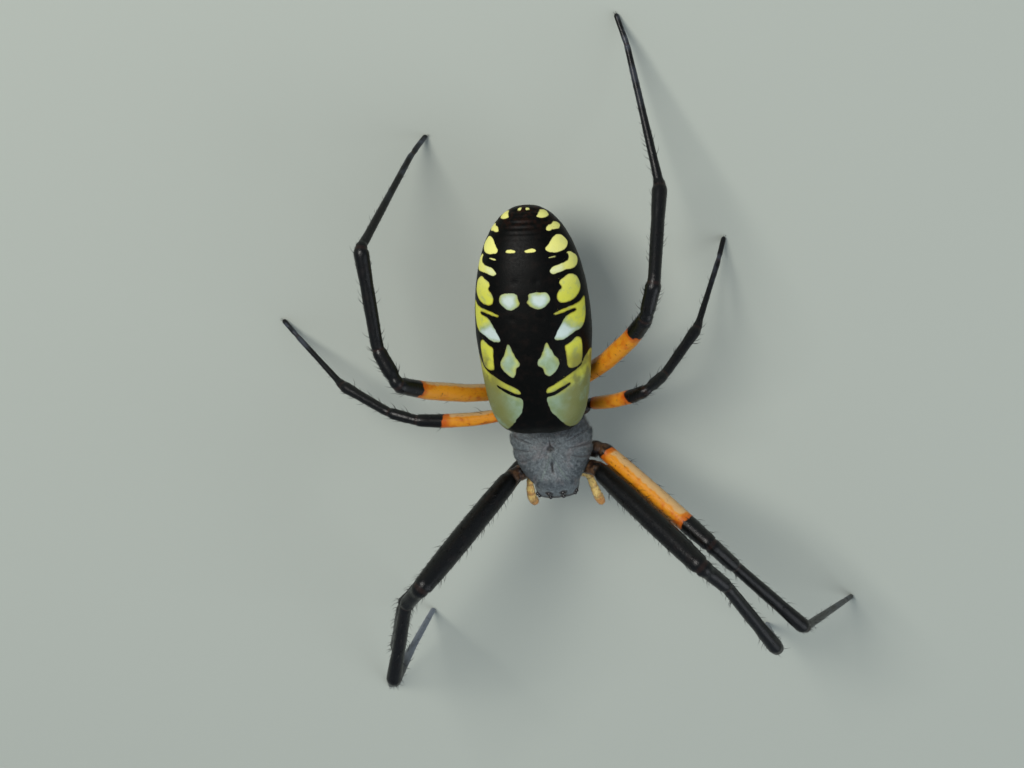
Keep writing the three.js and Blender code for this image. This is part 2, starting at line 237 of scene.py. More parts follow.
def ring_faces(rings, sides, place):
    """The quads and end fans of a form, and the map places of their corners, as lists."""
    left, bottom, right, top = place
    poles = {-1: rings * sides, rings: rings * sides + 1}
    faces, spots = [], []

    def add(*corners):
        """A face of corners (ring, place round it), where a pole is the ring before or after the others."""
        faces.append([poles.get(i, i * sides + k % sides) for i, k in corners])
        spots.extend((left + (right - left) * k / sides, bottom + (top - bottom) * (i + 1) / (rings + 1))
                     for i, k in corners)

    for i in range(rings - 1):
        for k in range(sides):
            add((i, k), (i + 1, k), (i + 1, k + 1), (i, k + 1))
    last = rings - 1
    for k in range(sides):
        add((-1, k + 0.5), (0, k), (0, k + 1))
        add((rings, k + 0.5), (last, k + 1), (last, k))
    return faces, spots


def grid_normals(grid):
    """The outward unit normals of rings of points."""
    around = np.roll(grid, -1, axis=1) - np.roll(grid, 1, axis=1)
    along = np.gradient(grid, axis=0)
    return unit(np.cross(along, around))


def ease_along(grid, passes):
    """Rings of points smoothed along their length, over both poles."""
    half = grid.shape[1] // 2
    for _ in range(passes):
        front = np.roll(grid[:1], half, axis=1)
        rear = np.roll(grid[-1:], half, axis=1)
        padded = np.concatenate([front, grid, rear])
        grid = 0.25 * padded[:-2] + 0.5 * padded[1:-1] + 0.25 * padded[2:]
    return grid


def ease_around(grid, waves):
    """Rings of points with only their first few waves round the ring left."""
    spectrum = np.fft.rfft(grid, axis=1)
    spectrum[:, waves + 1:] = 0
    return np.fft.irfft(spectrum, n=grid.shape[1], axis=1)


def smoothstep(low, high, value):
    share = np.clip((value - low) / (high - low), 0, 1)
    return share * share * (3 - 2 * share)


def bump(value, width):
    """A bell of the given half-width, 1 at 0."""
    return np.exp(-(value / width) ** 2)


def busiest(node):
    """The two places that the most of a node's triangles meet at: the poles of a wrapped sphere."""
    places, index = np.unique(np.round(triangles(node).reshape(-1, 3), 7), axis=0, return_inverse=True)
    return places[np.argsort(np.bincount(index.reshape(-1)))[-2:]]


class BodyFrame:
    """A body part's own frame: its middle, size, and unit vectors to its left, its rear and its back."""

    def __init__(self, node):
        front_pole, rear_pole = sorted(busiest(node), key=lambda pole: pole[1])
        self.rear = unit(rear_pole - front_pole)
        self.left = unit(np.cross(self.rear, up_z))
        self.up = np.cross(self.left, self.rear)
        self.middle = (front_pole + rear_pole) / 2
        self.axes = np.stack([self.left, self.rear, self.up])
        own = self.local(corners(node))
        self.length = own[:, 1].max() - own[:, 1].min()
        self.half = np.abs(own[:, 0]).max()
        self.top = own[:, 2].max()
        self.bottom = -own[:, 2].min()

    def local(self, points):
        return (points - self.middle) @ self.axes.T

    def world(self, points):
        return points @ self.axes + self.middle


def wrapped(node, body, rings, sides, fan=0.72):
    """Rings of points on a node, found by rays from its long axis, in its own frame."""
    surface = BVHTree.FromPolygons(*polygons(node))
    grid = np.empty((rings, sides, 3))
    for i in range(rings):
        turn = math.pi * (i + 0.5) / rings
        start = np.array([0, -math.cos(turn) * body.length / 2 * fan, 0])
        for k in range(sides):
            around = 2 * math.pi * k / sides
            aim = np.array([
                math.sin(turn) * math.cos(around) * body.half,
                -math.cos(turn) * body.length / 2,
                math.sin(turn) * math.sin(around) * body.half,
            ])
            way = unit(aim - start)
            hit = surface.ray_cast(Vector(body.world(start)), Vector(way @ body.axes))[0]
            grid[i, k] = body.local(np.array(hit))
    return grid


def polygons(node):
    mesh = frame["nodes"][node].data
    return [v.co for v in mesh.vertices], [tuple(p.vertices) for p in mesh.polygons]


# ---- limbs ----

def sampled(places, along, columns):
    """Vectors known along a line, at other places along it."""
    return np.stack([np.interp(places, along, columns[:, i]) for i in range(3)], 1)


def eased_line(line, width, spacing=0.1 * mm):
    """Points of a line at even steps, with its corners rounded over a width."""
    along = distances(line)
    count = max(int(along[-1] / spacing), 8)
    even = np.linspace(0, along[-1], count)
    points = sampled(even, along, line)
    reach = int(2.5 * width / spacing)
    kernel = np.exp(-0.5 * (np.arange(-reach, reach + 1) * spacing / width) ** 2)
    kernel /= kernel.sum()
    first = 2 * points[0] - points[1:reach + 1][::-1]
    last = 2 * points[-1] - points[-reach - 1:-1][::-1]
    padded = np.concatenate([first, points, last])
    eased = np.stack([np.convolve(padded[:, i], kernel, "valid") for i in range(3)], 1)
    return even, eased


def carried_frames(points):
    """Unit vectors along a line, up from it, and across it, with no twist between one and the next."""
    way = unit(np.gradient(points, axis=0))
    lift = up_z - way[0] * way[0][2]
    ups = [unit(lift)]
    for i in range(1, len(points)):
        lift = ups[-1] - way[i] * (ups[-1] @ way[i])
        ups.append(unit(lift))
    ups = np.array(ups)
    return way, ups, np.cross(way, ups)


DOME_RINGS = 6  # at each end of a limb


class Limb:
    """A round limb swept along a line, with domed ends."""

    def __init__(self, line, radii, stations, sides, corner=0.3 * mm, shape=None):
        """The stations are places along the line; shape(stations) scales the radius there."""
        even, points = eased_line(line, corner)
        given = np.interp(even, distances(line), radii)
        turn = np.linspace(0, math.pi / 2, DOME_RINGS + 2)[1:-1]
        width = np.interp(stations, even, given) * (1 if shape is None else shape(stations))
        first, last = width[0], width[-1]
        self.stations = np.concatenate([
            stations[0] - first * np.sin(turn[::-1]), stations, stations[-1] + last * np.sin(turn),
        ])
        width = np.concatenate([first * np.cos(turn[::-1]), width, last * np.cos(turn)])
        self.radii = np.maximum(width - coat_depth, 0.01 * mm)
        way, ups, across = carried_frames(points)
        inside = np.clip(self.stations, 0, even[-1])
        over = (self.stations - inside)[:, None]
        self.way, up, self.across = [unit(sampled(inside, even, part)) for part in (way, ups, across)]
        self.middle = sampled(inside, even, points) + self.way * over
        angle = 2 * math.pi * np.arange(sides) / sides
        self.out = (np.cos(angle)[None, :, None] * self.across[:, None]
                    + np.sin(angle)[None, :, None] * up[:, None])
        self.sides = sides
        self.grid = self.middle[:, None] + self.out * self.radii[:, None, None]

    def form(self, part, place):
        lie = np.repeat(self.way[:, None], self.sides, axis=1)
        return Form(part, self.grid, place, lie=lie)

    def shares(self):
        """How far along the limb each ring is, up to 1."""
        return self.stations / self.stations.max()

    def over_rings(self, values):
        """One value for each ring, spread round it."""
        return np.repeat(np.asarray(values, float)[:, None], self.sides, axis=1)


def leg_stations(joints, end, fine=0.085 * mm, coarse=0.2 * mm):
    """Places along a leg, closer together near its joints."""
    places = [0.0]
    while places[-1] < end:
        near = min(abs(places[-1] - joint) for joint in joints)
        places.append(places[-1] + (fine if near < 0.6 * mm else coarse))
    return np.array(places[:-1])


# Where the orange of each pair's femora ends, as a share of the femur. The first pair has none.
ORANGE_END = {1: 0.0, 2: 0.79, 3: 0.72, 4: 0.83}
NO_ORANGE = -50 * mm
HIDDEN_LEG = ("right", 2)  # under the first one, where its dark base hardly shows


def leg_shape(joints):
    """How much wider or narrower a leg is than its solids: a neck at each joint and a cuff beside it."""
    def shape(stations):
        scale = np.ones(len(stations))
        for joint, neck in zip(joints[1:6], (0.1, 0.1, 0.07, 0.09, 0.07)):
            scale -= neck * bump(stations - joint, 0.13 * mm)
            scale += 0.035 * bump(stations - joint - 0.42 * mm, 0.25 * mm)
            scale += 0.03 * bump(stations - joint + 0.42 * mm, 0.25 * mm)
        trochanter = joints[1] - 0.95 * mm
        scale -= 0.1 * bump(stations - trochanter, 0.12 * mm)
        return scale
    return shape


def course_of(stations, joints):
    """Which segment each station is on, from 0 at the coxa, plus its share of the way along it."""
    return np.interp(stations, joints, np.arange(len(joints)))


def leg_form(side, number, body, place):
    line, radii, along, joints = leg_line(side, number, body)
    stations = leg_stations(joints, along[-1])
    limb = Limb(line, radii, stations, sides=22, corner=0.28 * mm, shape=leg_shape(joints))
    limb.grid[..., 2] = np.maximum(limb.grid[..., 2], 0.01 * mm)
    form = limb.form(LEG, place)
    course = course_of(limb.stations, joints)
    femur = joints[2] - joints[1]
    dark_base = (2.4 if (side, number) == HIDDEN_LEG else 0.6) * mm
    orange_start = joints[1] + dark_base
    orange_end = joints[1] + ORANGE_END[number] * femur
    orange = np.minimum(limb.stations - orange_start, orange_end - limb.stations)
    if number == 1:
        orange = np.full(len(orange), NO_ORANGE)
    # A cream strip on the side that faces the rear: partly paler hairs and partly a painted highlight of
    # light from the rear.
    rearward = limb.out @ np.array([0.0, 1.0, 0.0])
    strip = limb.over_rings(limb.radii) * (rearward - 0.72) * 1.6
    strip = np.minimum(strip, limb.over_rings(orange) - 0.5 * mm)
    necks = sum(bump(limb.stations - joint, 0.16 * mm) for joint in joints[1:6])
    form.set_fields(mark=limb.over_rings(orange), pale=strip, along=limb.over_rings(course),
                    groove=limb.over_rings(necks), upper=limb.out[..., 2] * 0.5 + 0.5)
    return form, limb


# ---- the abdomen ----

# The marks on the spider's left half of the abdomen's back: degrees round it, from 0 on the left to 90 along
# the back, and shares of the length from the front. The right half has the same marks, mirrored.
MARKS = {
    "shoulder": [
        (-14, 0.05), (4, 0.03), (16, 0.036), (32, 0.039), (45, 0.054), (54, 0.071), (61, 0.087),
        (68, 0.108), (73, 0.122), (76, 0.147), (79, 0.178), (78, 0.196), (72, 0.199), (66, 0.208),
        (59, 0.222), (50, 0.241), (50, 0.25), (58, 0.239), (66, 0.225), (73, 0.213), (79, 0.21),
        (79, 0.226), (77, 0.237), (72, 0.247), (61, 0.269), (50, 0.29), (39, 0.306), (32, 0.319),
        (29, 0.338), (23, 0.356), (14, 0.372), (2, 0.37), (-14, 0.33)],
    "first flank": [
        (33, 0.325), (41, 0.313), (49, 0.311), (54, 0.32), (55, 0.355), (56, 0.388), (58, 0.417),
        (52, 0.425), (46, 0.438), (41, 0.45), (35, 0.438), (32, 0.419), (31, 0.388), (31, 0.35)],
    "drop": [
        (75, 0.284), (69, 0.303), (63.5, 0.331), (63.5, 0.356), (69, 0.381), (72.5, 0.41), (76, 0.448),
        (79.5, 0.41), (82, 0.38), (85.5, 0.359), (85.5, 0.338), (81, 0.329), (80, 0.303)],
    "second flank": [
        (69, 0.45), (65, 0.442), (57, 0.445), (50, 0.459), (42, 0.471), (33, 0.477), (25, 0.5), (21, 0.53),
        (19, 0.575), (16, 0.606), (20, 0.61), (29, 0.594), (39, 0.586), (50, 0.581), (61, 0.572),
        (69, 0.559), (67, 0.552), (59, 0.557), (50, 0.565), (40, 0.569), (38, 0.562), (41, 0.557),
        (49, 0.552), (55, 0.54), (60, 0.513), (65, 0.48)],
    "shield": [
        (80, 0.58), (74, 0.595), (68.5, 0.618), (69.5, 0.639), (73, 0.656), (89, 0.656), (89.5, 0.631),
        (91, 0.612), (87.5, 0.593)],
    "third flank": [
        (55, 0.597), (61, 0.609), (62, 0.631), (60, 0.65), (53, 0.667), (57, 0.684), (55, 0.698),
        (48, 0.707), (41, 0.718), (34, 0.714), (25, 0.696), (22, 0.656), (27, 0.634), (34, 0.616),
        (43, 0.603)],
    "band": [
        (67, 0.738), (62, 0.724), (54, 0.729), (45, 0.735), (32, 0.733), (21, 0.739), (11, 0.758),
        (8, 0.775), (18, 0.794), (27, 0.807), (35, 0.8), (33, 0.784), (40, 0.77), (48, 0.764), (59, 0.759)],
    "fourth flank": [
        (62, 0.818), (66, 0.831), (59, 0.847), (53, 0.863), (44, 0.879), (34, 0.883), (25, 0.876),
        (18, 0.845), (25, 0.828), (36, 0.815), (50, 0.81)],
    "fifth flank": [
        (55, 0.906), (48, 0.899), (39, 0.903), (21, 0.9), (8, 0.913), (12, 0.925), (25, 0.933), (34, 0.924),
        (45, 0.922)],
    "tail": [(60, 0.961), (46, 0.949), (21, 0.955), (0, 0.972), (14, 0.982), (34, 0.979), (50, 0.968)],
    "end": [(64, 0.986), (84, 0.984), (86, 0.992), (64, 0.994)],
    "dash": [(77, 0.822), (90, 0.82), (91, 0.832), (84, 0.838), (77, 0.834)],
    "side dash": [(64, 0.79), (50, 0.793), (50, 0.799), (64, 0.797)],
}
PALE_MARKS = ("shield", "drop", "end", "side dash")
PALE_ZONES = {
    "shoulder": [
        (-20, 0.02), (10, 0.02), (48, 0.045), (64, 0.08), (78, 0.13), (82, 0.19), (70, 0.205), (55, 0.225),
        (36, 0.24), (14, 0.26), (-20, 0.28)],
    "second flank": [
        (73, 0.44), (57, 0.435), (44, 0.46), (34, 0.468), (33, 0.49), (46, 0.505), (57, 0.54), (68, 0.5)],
    "band": [(70, 0.72), (54, 0.72), (44, 0.74), (46, 0.775), (70, 0.76)],
}
# Black smudges on the marks: points and half-width in millimetres.
STROKES = [
    ([(46, 0.776), (36, 0.782), (33, 0.79)], 0.22),
    ([(30, 0.42), (20, 0.43), (5, 0.46)], 0.2),
]
VENTRAL_STRIPE = [(238, 0.3), (248, 0.34), (250, 0.45), (249, 0.58), (246, 0.68), (240, 0.7), (236, 0.6),
                  (234, 0.45), (233, 0.34)]


def rounded(outline):
    """A closed outline with its corners cut."""
    points = np.array(outline, float)
    for cut in (0.22, 0.25):
        after = np.roll(points, -1, axis=0)
        points = np.stack([(1 - cut) * points + cut * after, cut * points + (1 - cut) * after], 1)
        points = points.reshape(-1, 2)
    return points


def segment_distance(places, a, b):
    """The distance of each place from the line between two points of a flat chart."""
    run = b - a
    share = np.clip(((places - a) @ run) / max(run @ run, 1e-18), 0, 1)
    return np.linalg.norm(places - a - share[:, None] * run, axis=1)


def inside_distance(places, outline):
    """The distance of each place from a closed outline, positive inside it."""
    inside = np.zeros(len(places), bool)
    nearest = np.full(len(places), 1.0)
    for a, b in zip(outline, np.roll(outline, -1, axis=0)):
        nearest = np.minimum(nearest, segment_distance(places, a, b))
        straddles = (a[1] > places[:, 1]) != (b[1] > places[:, 1])
        rise = b[1] - a[1] if b[1] != a[1] else 1e-12
        crossing = a[0] + (places[:, 1] - a[1]) / rise * (b[0] - a[0])
        inside ^= straddles & (places[:, 0] < crossing)
    return np.where(inside, nearest, -nearest)


class AbdomenChart:
    """A flat chart of the abdomen: x round it from its left side over its back, y along it, in metres."""

    round_scale = 4.1 * mm * math.pi / 180

    def __init__(self, length, degrees_round, share):
        self.length = length
        self.degrees = degrees_round
        self.share = share

    def midline(self, share):
        """Where the pattern's midline lies, in degrees round."""
        return np.interp(share, [0.15, 0.33, 0.6, 0.85], [89.7, 93, 93.4, 96])

    def places(self, side):
        """The chart places of the points, as the left half sees them."""
        around = self.degrees if side > 0 else 2 * self.midline(self.share) - self.degrees
        return np.stack([around.reshape(-1) * self.round_scale, self.share.reshape(-1) * self.length], 1)

    def outline(self, points):
        return rounded(points) * [self.round_scale, self.length]

    def inside(self, outlines):
        """How far inside the nearest of some outlines each point is, on either half."""
        found = np.full(self.degrees.size, -1.0)
        for side in SIDES.values():
            places = self.places(side)
            for points in outlines:
                found = np.maximum(found, inside_distance(places, self.outline(points)))
        return found

    def strokes(self):
        """How far inside the nearest smudge each point is, on either half."""
        found = np.full(self.degrees.size, -1.0)
        for side in SIDES.values():
            places = self.places(side)
            for points, half_width in STROKES:
                line = np.array(points, float) * [self.round_scale, self.length]
                for a, b in zip(line[:-1], line[1:]):
                    found = np.maximum(found, half_width * mm - segment_distance(places, a, b))
        return found

    def ventral(self):
        """The two yellow stripes of the underside, about its midline at 270 degrees."""
        around = np.mod(self.degrees, 360).reshape(-1)
        folded = 270 - np.abs(around - 270)
        places = np.stack([folded * self.round_scale, self.share.reshape(-1) * self.length], 1)
        return inside_distance(places, self.outline(VENTRAL_STRIPE))


ABDOMEN_FULLNESS = 0.9  # of its rings: an ellipse's is 1
SHOULDERS = (48, 132)  # degrees round
PIT_ROWS = ((0.25, 12), (0.42, 13), (0.545, 13), (0.7, 10))  # share of the length, degrees from the midline


def abdomen_form():
    body = BodyFrame("abdomen")
    grid = ease_around(wrapped("abdomen", body, rings=210, sides=168), waves=5)
    grid = ease_along(grid, passes=14)
    share = grid[..., 1] / body.length + 0.5
    half = np.abs(grid[..., 0]).max(1, keepdims=True)
    top, bottom = grid[..., 2].max(1, keepdims=True), -grid[..., 2].min(1, keepdims=True)
    across = np.sign(grid[..., 0]) * (np.abs(grid[..., 0]) / half) ** (1 / ABDOMEN_FULLNESS)
    lift = grid[..., 2] / np.where(grid[..., 2] > 0, top, bottom)
    around = np.degrees(np.arctan2(lift, across))
    around = np.where(around < -90, around + 360, around)
    chart = AbdomenChart(body.length, around, share)
    normal = grid_normals(grid)
    grid = grid + normal * (abdomen_relief(around, share) - coat_depth)[..., None]
    form = Form(ABDOMEN, body.world(grid), MAP_ABDOMEN)
    marks = np.maximum(chart.inside(MARKS.values()), chart.ventral())
    pale = chart.inside([MARKS[name] for name in PALE_MARKS] + list(PALE_ZONES.values()))
    smudges = np.clip(0.5 + chart.strokes() / (0.3 * mm), 0, 1)
    form.set_fields(mark=marks.reshape(share.shape), pale=pale.reshape(share.shape),
                    groove=smudges.reshape(share.shape), along=share, upper=lift)
    form.lie[:] = body.rear
    return form, body


def abdomen_relief(around, share):
    """How far the abdomen's skin stands out or in from its smooth shape."""
    relief = np.zeros(share.shape)
    for centre in SHOULDERS:
        relief += 0.16 * bump(around - centre, 26) * bump(share - 0.07, 0.06)
    for row, apart in PIT_ROWS:
        for centre in (91.5 - apart, 91.5 + apart):
            relief -= 0.035 * bump(around - centre, 3.0) * bump(share - row, 0.012)
    folds = smoothstep(0.84, 0.95, share) * bump(around - 92, 75)
    relief += 0.03 * folds * np.sin(share * 2 * math.pi / 0.021)
    relief -= 0.14 * bump(share - 0.3, 0.02) * bump(around - 270 + 360 * (around < 90), 45)
    return relief * mm


# ---- the front of the body ----

EYES = [f"eye_{row}_{side}" for row in ("front_middle", "rear_middle", "front_side", "rear_side")
        for side in SIDES]


def fitted_ball(node, body):
    """The ball that the outer part of an eye's solid lies on."""
    points = corners(node)
    reach = np.linalg.norm(points - body.middle, axis=1)
    outer = points[reach > np.median(reach) - 0.02 * mm]
    sides = np.concatenate([2 * outer, np.ones((len(outer), 1))], 1)
    found = np.linalg.lstsq(sides, (outer ** 2).sum(1), rcond=None)[0]
    middle = found[:3]
    return middle, math.sqrt(max(found[3] + middle @ middle, 0))


def eye_rims(points, body):
    """How near each point is to an eye, from 0 to 1 at its rim."""
    rims = np.zeros(points.shape[:-1])
    for node in EYES:
        middle, radius = fitted_ball(node, body)
        apart = np.linalg.norm(points - middle, axis=-1)
        rims = np.maximum(rims, smoothstep(2.1 * radius, 1.15 * radius, apart))
    return rims


RAYS_FROM = 0.56  # of the carapace's length, where its furrows and its down start from


def prosoma_form():
    body = BodyFrame("cephalothorax")
    grid = ease_around(wrapped("cephalothorax", body, rings=110, sides=112), waves=9)
    grid = ease_along(grid, passes=5)
    share = grid[..., 1] / body.length + 0.5
    upper = smoothstep(-0.1, 0.35, grid[..., 2] / body.top)
    normal = grid_normals(grid)
    relief, groove, streaks = carapace_relief(grid[..., 0] / body.half, share, upper)
    rims = eye_rims(body.world(grid), body)
    relief, groove = relief + 0.055 * mm * rims, np.maximum(groove, rims)
    under = smoothstep(0.0, 0.5, -grid[..., 2] / body.bottom)
    plate, middle = sternum(grid[..., 0], share, under)
    grid = grid + normal * (relief + 0.16 * mm * plate - coat_depth)[..., None]
    form = Form(PROSOMA, body.world(grid), MAP_PROSOMA)
    form.set_fields(groove=groove, mark=middle, pale=streaks * mm, along=share, upper=upper)
    outward = grid * [1, 0, 0.3]
    outward[..., 1] = (share - RAYS_FROM) * body.length
    form.lie = np.concatenate([unit(outward @ body.axes).reshape(-1, 3), [body.rear] * 2])
    return form, body


def carapace_relief(across, share, upper):
    """The carapace's relief, how dark its grooves are, and how pale its streaks are."""
    side = np.abs(across)
    slit = bump(across, 0.03) * smoothstep(0.3, 0.35, share) * smoothstep(0.48, 0.42, share)
    pit = bump(share - 0.57, 0.022) * bump(across, 0.1)
    seam = 0.5 * bump(across, 0.025) * smoothstep(0.5, 0.57, share)
    neck = 0.6 - 0.72 * side
    groove = bump(share - neck, 0.04) * smoothstep(0.62, 0.45, side)
    turn = np.arctan2(share - RAYS_FROM, side * 0.45 + 1e-6)
    away = np.hypot(across * 0.45, share - RAYS_FROM)
    rays = np.cos(turn * 9) ** 8 * smoothstep(0.08, 0.3, away) * smoothstep(0.36, 0.46, share)
    arms = bump(share - (0.5 - 0.8 * side), 0.02) * smoothstep(0.16, 0.24, share)
    relief = -(0.12 * groove + 0.16 * pit + 0.1 * slit + 0.06 * seam + 0.05 * rays) * upper
    relief += 0.1 * bump(across, 0.28) * bump(share - 0.2, 0.18) * upper
    dark = np.clip(0.25 * groove + 0.8 * pit + slit + seam + 0.6 * rays, 0, 1) * upper
    return relief * mm, dark, arms * upper


def sternum(across, share, under):
    """The heart-shaped plate between the legs: how much each point is on it, and on its yellow middle."""
    width = 1.25 * mm * np.interp(share, [0.3, 0.38, 0.5, 0.7, 0.8], [0.5, 1, 1, 0.55, 0.05])
    edge = (width - np.abs(across)) / mm
    length = np.minimum(share - 0.34, 0.78 - share) * 7.5
    plate = smoothstep(-0.05, 0.12, np.minimum(edge, length)) * under
    middle = (np.minimum(edge - 0.65, length - 0.5)) * mm
    return plate, np.where(under > 0.5, middle, -1.0)


def blob(part, middle, axis, radii, place, rings=18, sides=20):
    """A closed ellipsoid: radii along its axis, across it and up from it."""
    axis = unit(axis)
    across = unit(np.cross(axis, up_z))
    lift = np.cross(across, axis)
    turn = math.pi * (np.arange(rings) + 0.5) / rings
    angle = 2 * math.pi * np.arange(sides) / sides
    along = -np.cos(turn)[:, None, None] * radii[0] * axis
    ring = np.sin(turn)[:, None, None] * (
        np.cos(angle)[None, :, None] * radii[1] * across + np.sin(angle)[None, :, None] * radii[2] * lift)
    grid = middle + along + ring
    lie = np.broadcast_to(axis, grid.shape)
    return Form(part, grid, place, lie=lie)


# ---- jaws, palps, waist and spinnerets ----

def map_cell(area, columns, rows, index):
    """One cell of an area of the map, without its margins."""
    left, bottom, right, top = area
    wide, tall = (right - left) / columns, (top - bottom) / rows
    x, y = left + wide * (index % columns), bottom + tall * (index // columns)
    return (x, y, x + wide - MAP_GAP, y + tall - MAP_GAP)


small_cells = iter(range(SMALL_COLUMNS * SMALL_ROWS))


def next_cell():
    return map_cell(MAP_SMALL, SMALL_COLUMNS, SMALL_ROWS, next(small_cells))


def traced_form(node, part, root, sides, step, shape=None, corner=0.25 * mm):
    """A limb's form along a node's own middle line, from a root inside its neighbour."""
    line, radii = traced(node, root, 0.5 * mm)
    start = line[0] + unit(root - line[0]) * 0.9 * mm
    line, radii = np.array([start] + line), np.array([radii[1] * 0.9] + radii)
    radii[1] = radii[2]
    stations = np.arange(0, distances(line)[-1], step)
    limb = Limb(line, radii, stations, sides, corner=corner, shape=shape)
    return limb.form(part, next_cell()), limb


def palp_form(side, body):
    """A pedipalp: its segments' ends show as narrow rings."""
    root = body.world(np.array([SIDES[side] * 0.9 * mm, -0.12 * body.length, -0.5 * mm]))
    joints = np.array([1.3, 2.6, 3.4, 4.4]) * mm

    def shape(stations):
        scale = np.ones(len(stations))
        for joint in joints:
            scale -= 0.09 * bump(stations - joint, 0.12 * mm)
        return scale

    form, limb = traced_form(f"pedipalp_{side}", MOUTH, root, 18, 0.09 * mm, shape)
    necks = sum(bump(limb.stations - joint, 0.13 * mm) for joint in joints)
    form.set_fields(groove=limb.over_rings(necks), along=limb.over_rings(limb.shares()))
    return form


def jaw_form(side, body):
    root = body.world(np.array([SIDES[side] * 0.7 * mm, -0.4 * body.length, 0.4 * mm]))
    form, limb = traced_form(f"chelicera_{side}", MOUTH, root, 26, 0.1 * mm)
    form.set_fields(along=limb.over_rings(ALONG_JAW + limb.shares()),
                    groove=limb.over_rings(smoothstep(0.8, 1, limb.shares())))
    return form


def waist_form():
    points = corners("pedicel")
    middle = points.mean(0)
    way = unit(BodyFrame("abdomen").middle - BodyFrame("cephalothorax").middle)
    _, radius = section(triangles("pedicel"), middle, way, 3 * mm)
    reach = np.abs((points - middle) @ way).max() + 0.8 * mm
    line = np.array([middle - way * reach, middle, middle + way * reach])
    stations = np.arange(0, 2 * reach, 0.1 * mm)
    limb = Limb(line, np.full(3, radius), stations, sides=24)
    form = limb.form(REAR, next_cell())
    form.set_fields(along=limb.over_rings(np.full(len(limb.stations), ALONG_WAIST)))
    return form


def spinneret_forms():
    """A low mound with six nipples under the rear of the abdomen: three pairs, the middle one small."""
    points = corners("spinnerets")
    middle = points.mean(0)
    skin = BVHTree.FromPolygons(*polygons("abdomen"))
    base = np.array(skin.find_nearest(Vector(middle))[0])
    way = unit(middle - base)
    tip = ((points - base) @ way).max()
    left = unit(np.cross(BodyFrame("abdomen").rear, way))
    ahead = np.cross(way, left)
    mound = np.array([base - way * 0.8 * mm, base, base + way * tip * 0.42])
    stations = np.linspace(0, distances(mound)[-1], 16)
    forms = [Limb(mound, np.array([0.72, 0.7, 0.55]) * mm, stations, sides=28).form(REAR, next_cell())]
    # Millimetres beside and ahead of the middle, the radius in millimetres, and the share of the height.
    nipples = ((0.42, 0.3, 0.27, 0.95), (0.16, 0.02, 0.17, 0.75), (0.36, -0.34, 0.25, 0.98))
    for beside, forward, radius, reach in nipples:
        for side in SIDES.values():
            foot = base + (left * side * beside + ahead * forward) * mm + way * tip * 0.2
            lean = unit(way + left * side * 0.12 * beside - ahead * forward * 0.25)
            head = foot + lean * (tip * reach - tip * 0.2 - radius * 0.8 * mm)
            line = np.array([foot, (foot + head) / 2, head])
            stations = np.linspace(0, distances(line)[-1], 12)
            widths = np.array([1.0, 0.9, 0.55]) * radius * mm
            limb = Limb(line, widths, stations, sides=16)
            form = limb.form(REAR, next_cell())
            form.set_fields(along=limb.over_rings(limb.shares()))
            forms.append(form)
    return forms


def mouth_forms(body):
    """The two maxillae and the labium that close the mouth from below."""
    forms = []
    below = -0.95 * body.bottom
    for side in SIDES.values():
        middle = body.world(np.array([side * 0.62 * mm, -0.25 * body.length, below]))
        axis = np.array([side * 0.1, -1, -0.05]) @ body.axes
        forms.append(blob(MOUTH, middle, axis, np.array([0.95, 0.52, 0.3]) * mm, next_cell()))
    middle = body.world(np.array([0, -0.17 * body.length, below - 0.02 * mm]))
    forms.append(blob(MOUTH, middle, -body.rear, np.array([0.5, 0.4, 0.26]) * mm, next_cell()))
    for form in forms:
        form.fields["along"][:] = ALONG_MAXILLA
    return forms


def epigynum_form(body):
    """The dark plate under the front of the abdomen."""
    middle = body.world(np.array([0, -0.2 * body.length, -0.985 * body.bottom]))
    form = blob(REAR, middle, -body.rear, np.array([0.75, 0.6, 0.3]) * mm, next_cell())
    form.fields["along"][:] = ALONG_PLATE
    return form


# ---- joining the skin ----

def new_object(name, points, faces, spots, collection=None):
    """A mesh object from its points, its faces and the map places of their corners."""
    mesh = bpy.data.meshes.new(name)
    mesh.from_pydata(points, [], faces)
    layer = mesh.uv_layers.new(name="OFBake")
    layer.data.foreach_set("uv", np.array(spots, np.float32).reshape(-1))
    obj = bpy.data.objects.new(name, mesh)
    (collection or bpy.context.scene.collection).objects.link(obj)
    return obj


def raw_object(form, name, collection):
    obj = new_object(name, form.points, form.faces, form.map, collection)
    part = obj.data.attributes.new("part", "INT", "FACE")
    part.data.foreach_set("value", np.full(len(form.faces), form.part, np.int32))
    return obj


def united(forms, name):
    """One closed skin from all the forms, with their fields, maps and part numbers."""
    others = bpy.data.collections.new("joined")
    bpy.context.scene.collection.children.link(others)
    whole = raw_object(forms[0], name, bpy.context.scene.collection)
    for i, form in enumerate(forms[1:]):
        raw_object(form, f"form_{i}", others)
    join = whole.modifiers.new("join", "BOOLEAN")
    join.operation = "UNION"
    join.solver = "MANIFOLD"
    join.operand_type = "COLLECTION"
    join.collection = others
    bpy.context.view_layer.update()
    found = bpy.data.meshes.new_from_object(whole.evaluated_get(bpy.context.evaluated_depsgraph_get()))
    whole.modifiers.clear()
    whole.data = found
    found.name = name
    found.materials.clear()
    for obj in list(others.objects):
        bpy.data.objects.remove(obj)
    bpy.data.collections.remove(others)
    carry_fields(found, forms)
    return whole


def hard_piece(name, look, points, faces, spots):
    """A smooth object in one material."""
    piece = new_object(name, points, faces, spots)
    piece.data.materials.append(look)
    smooth(piece.data, 180)
    return piece


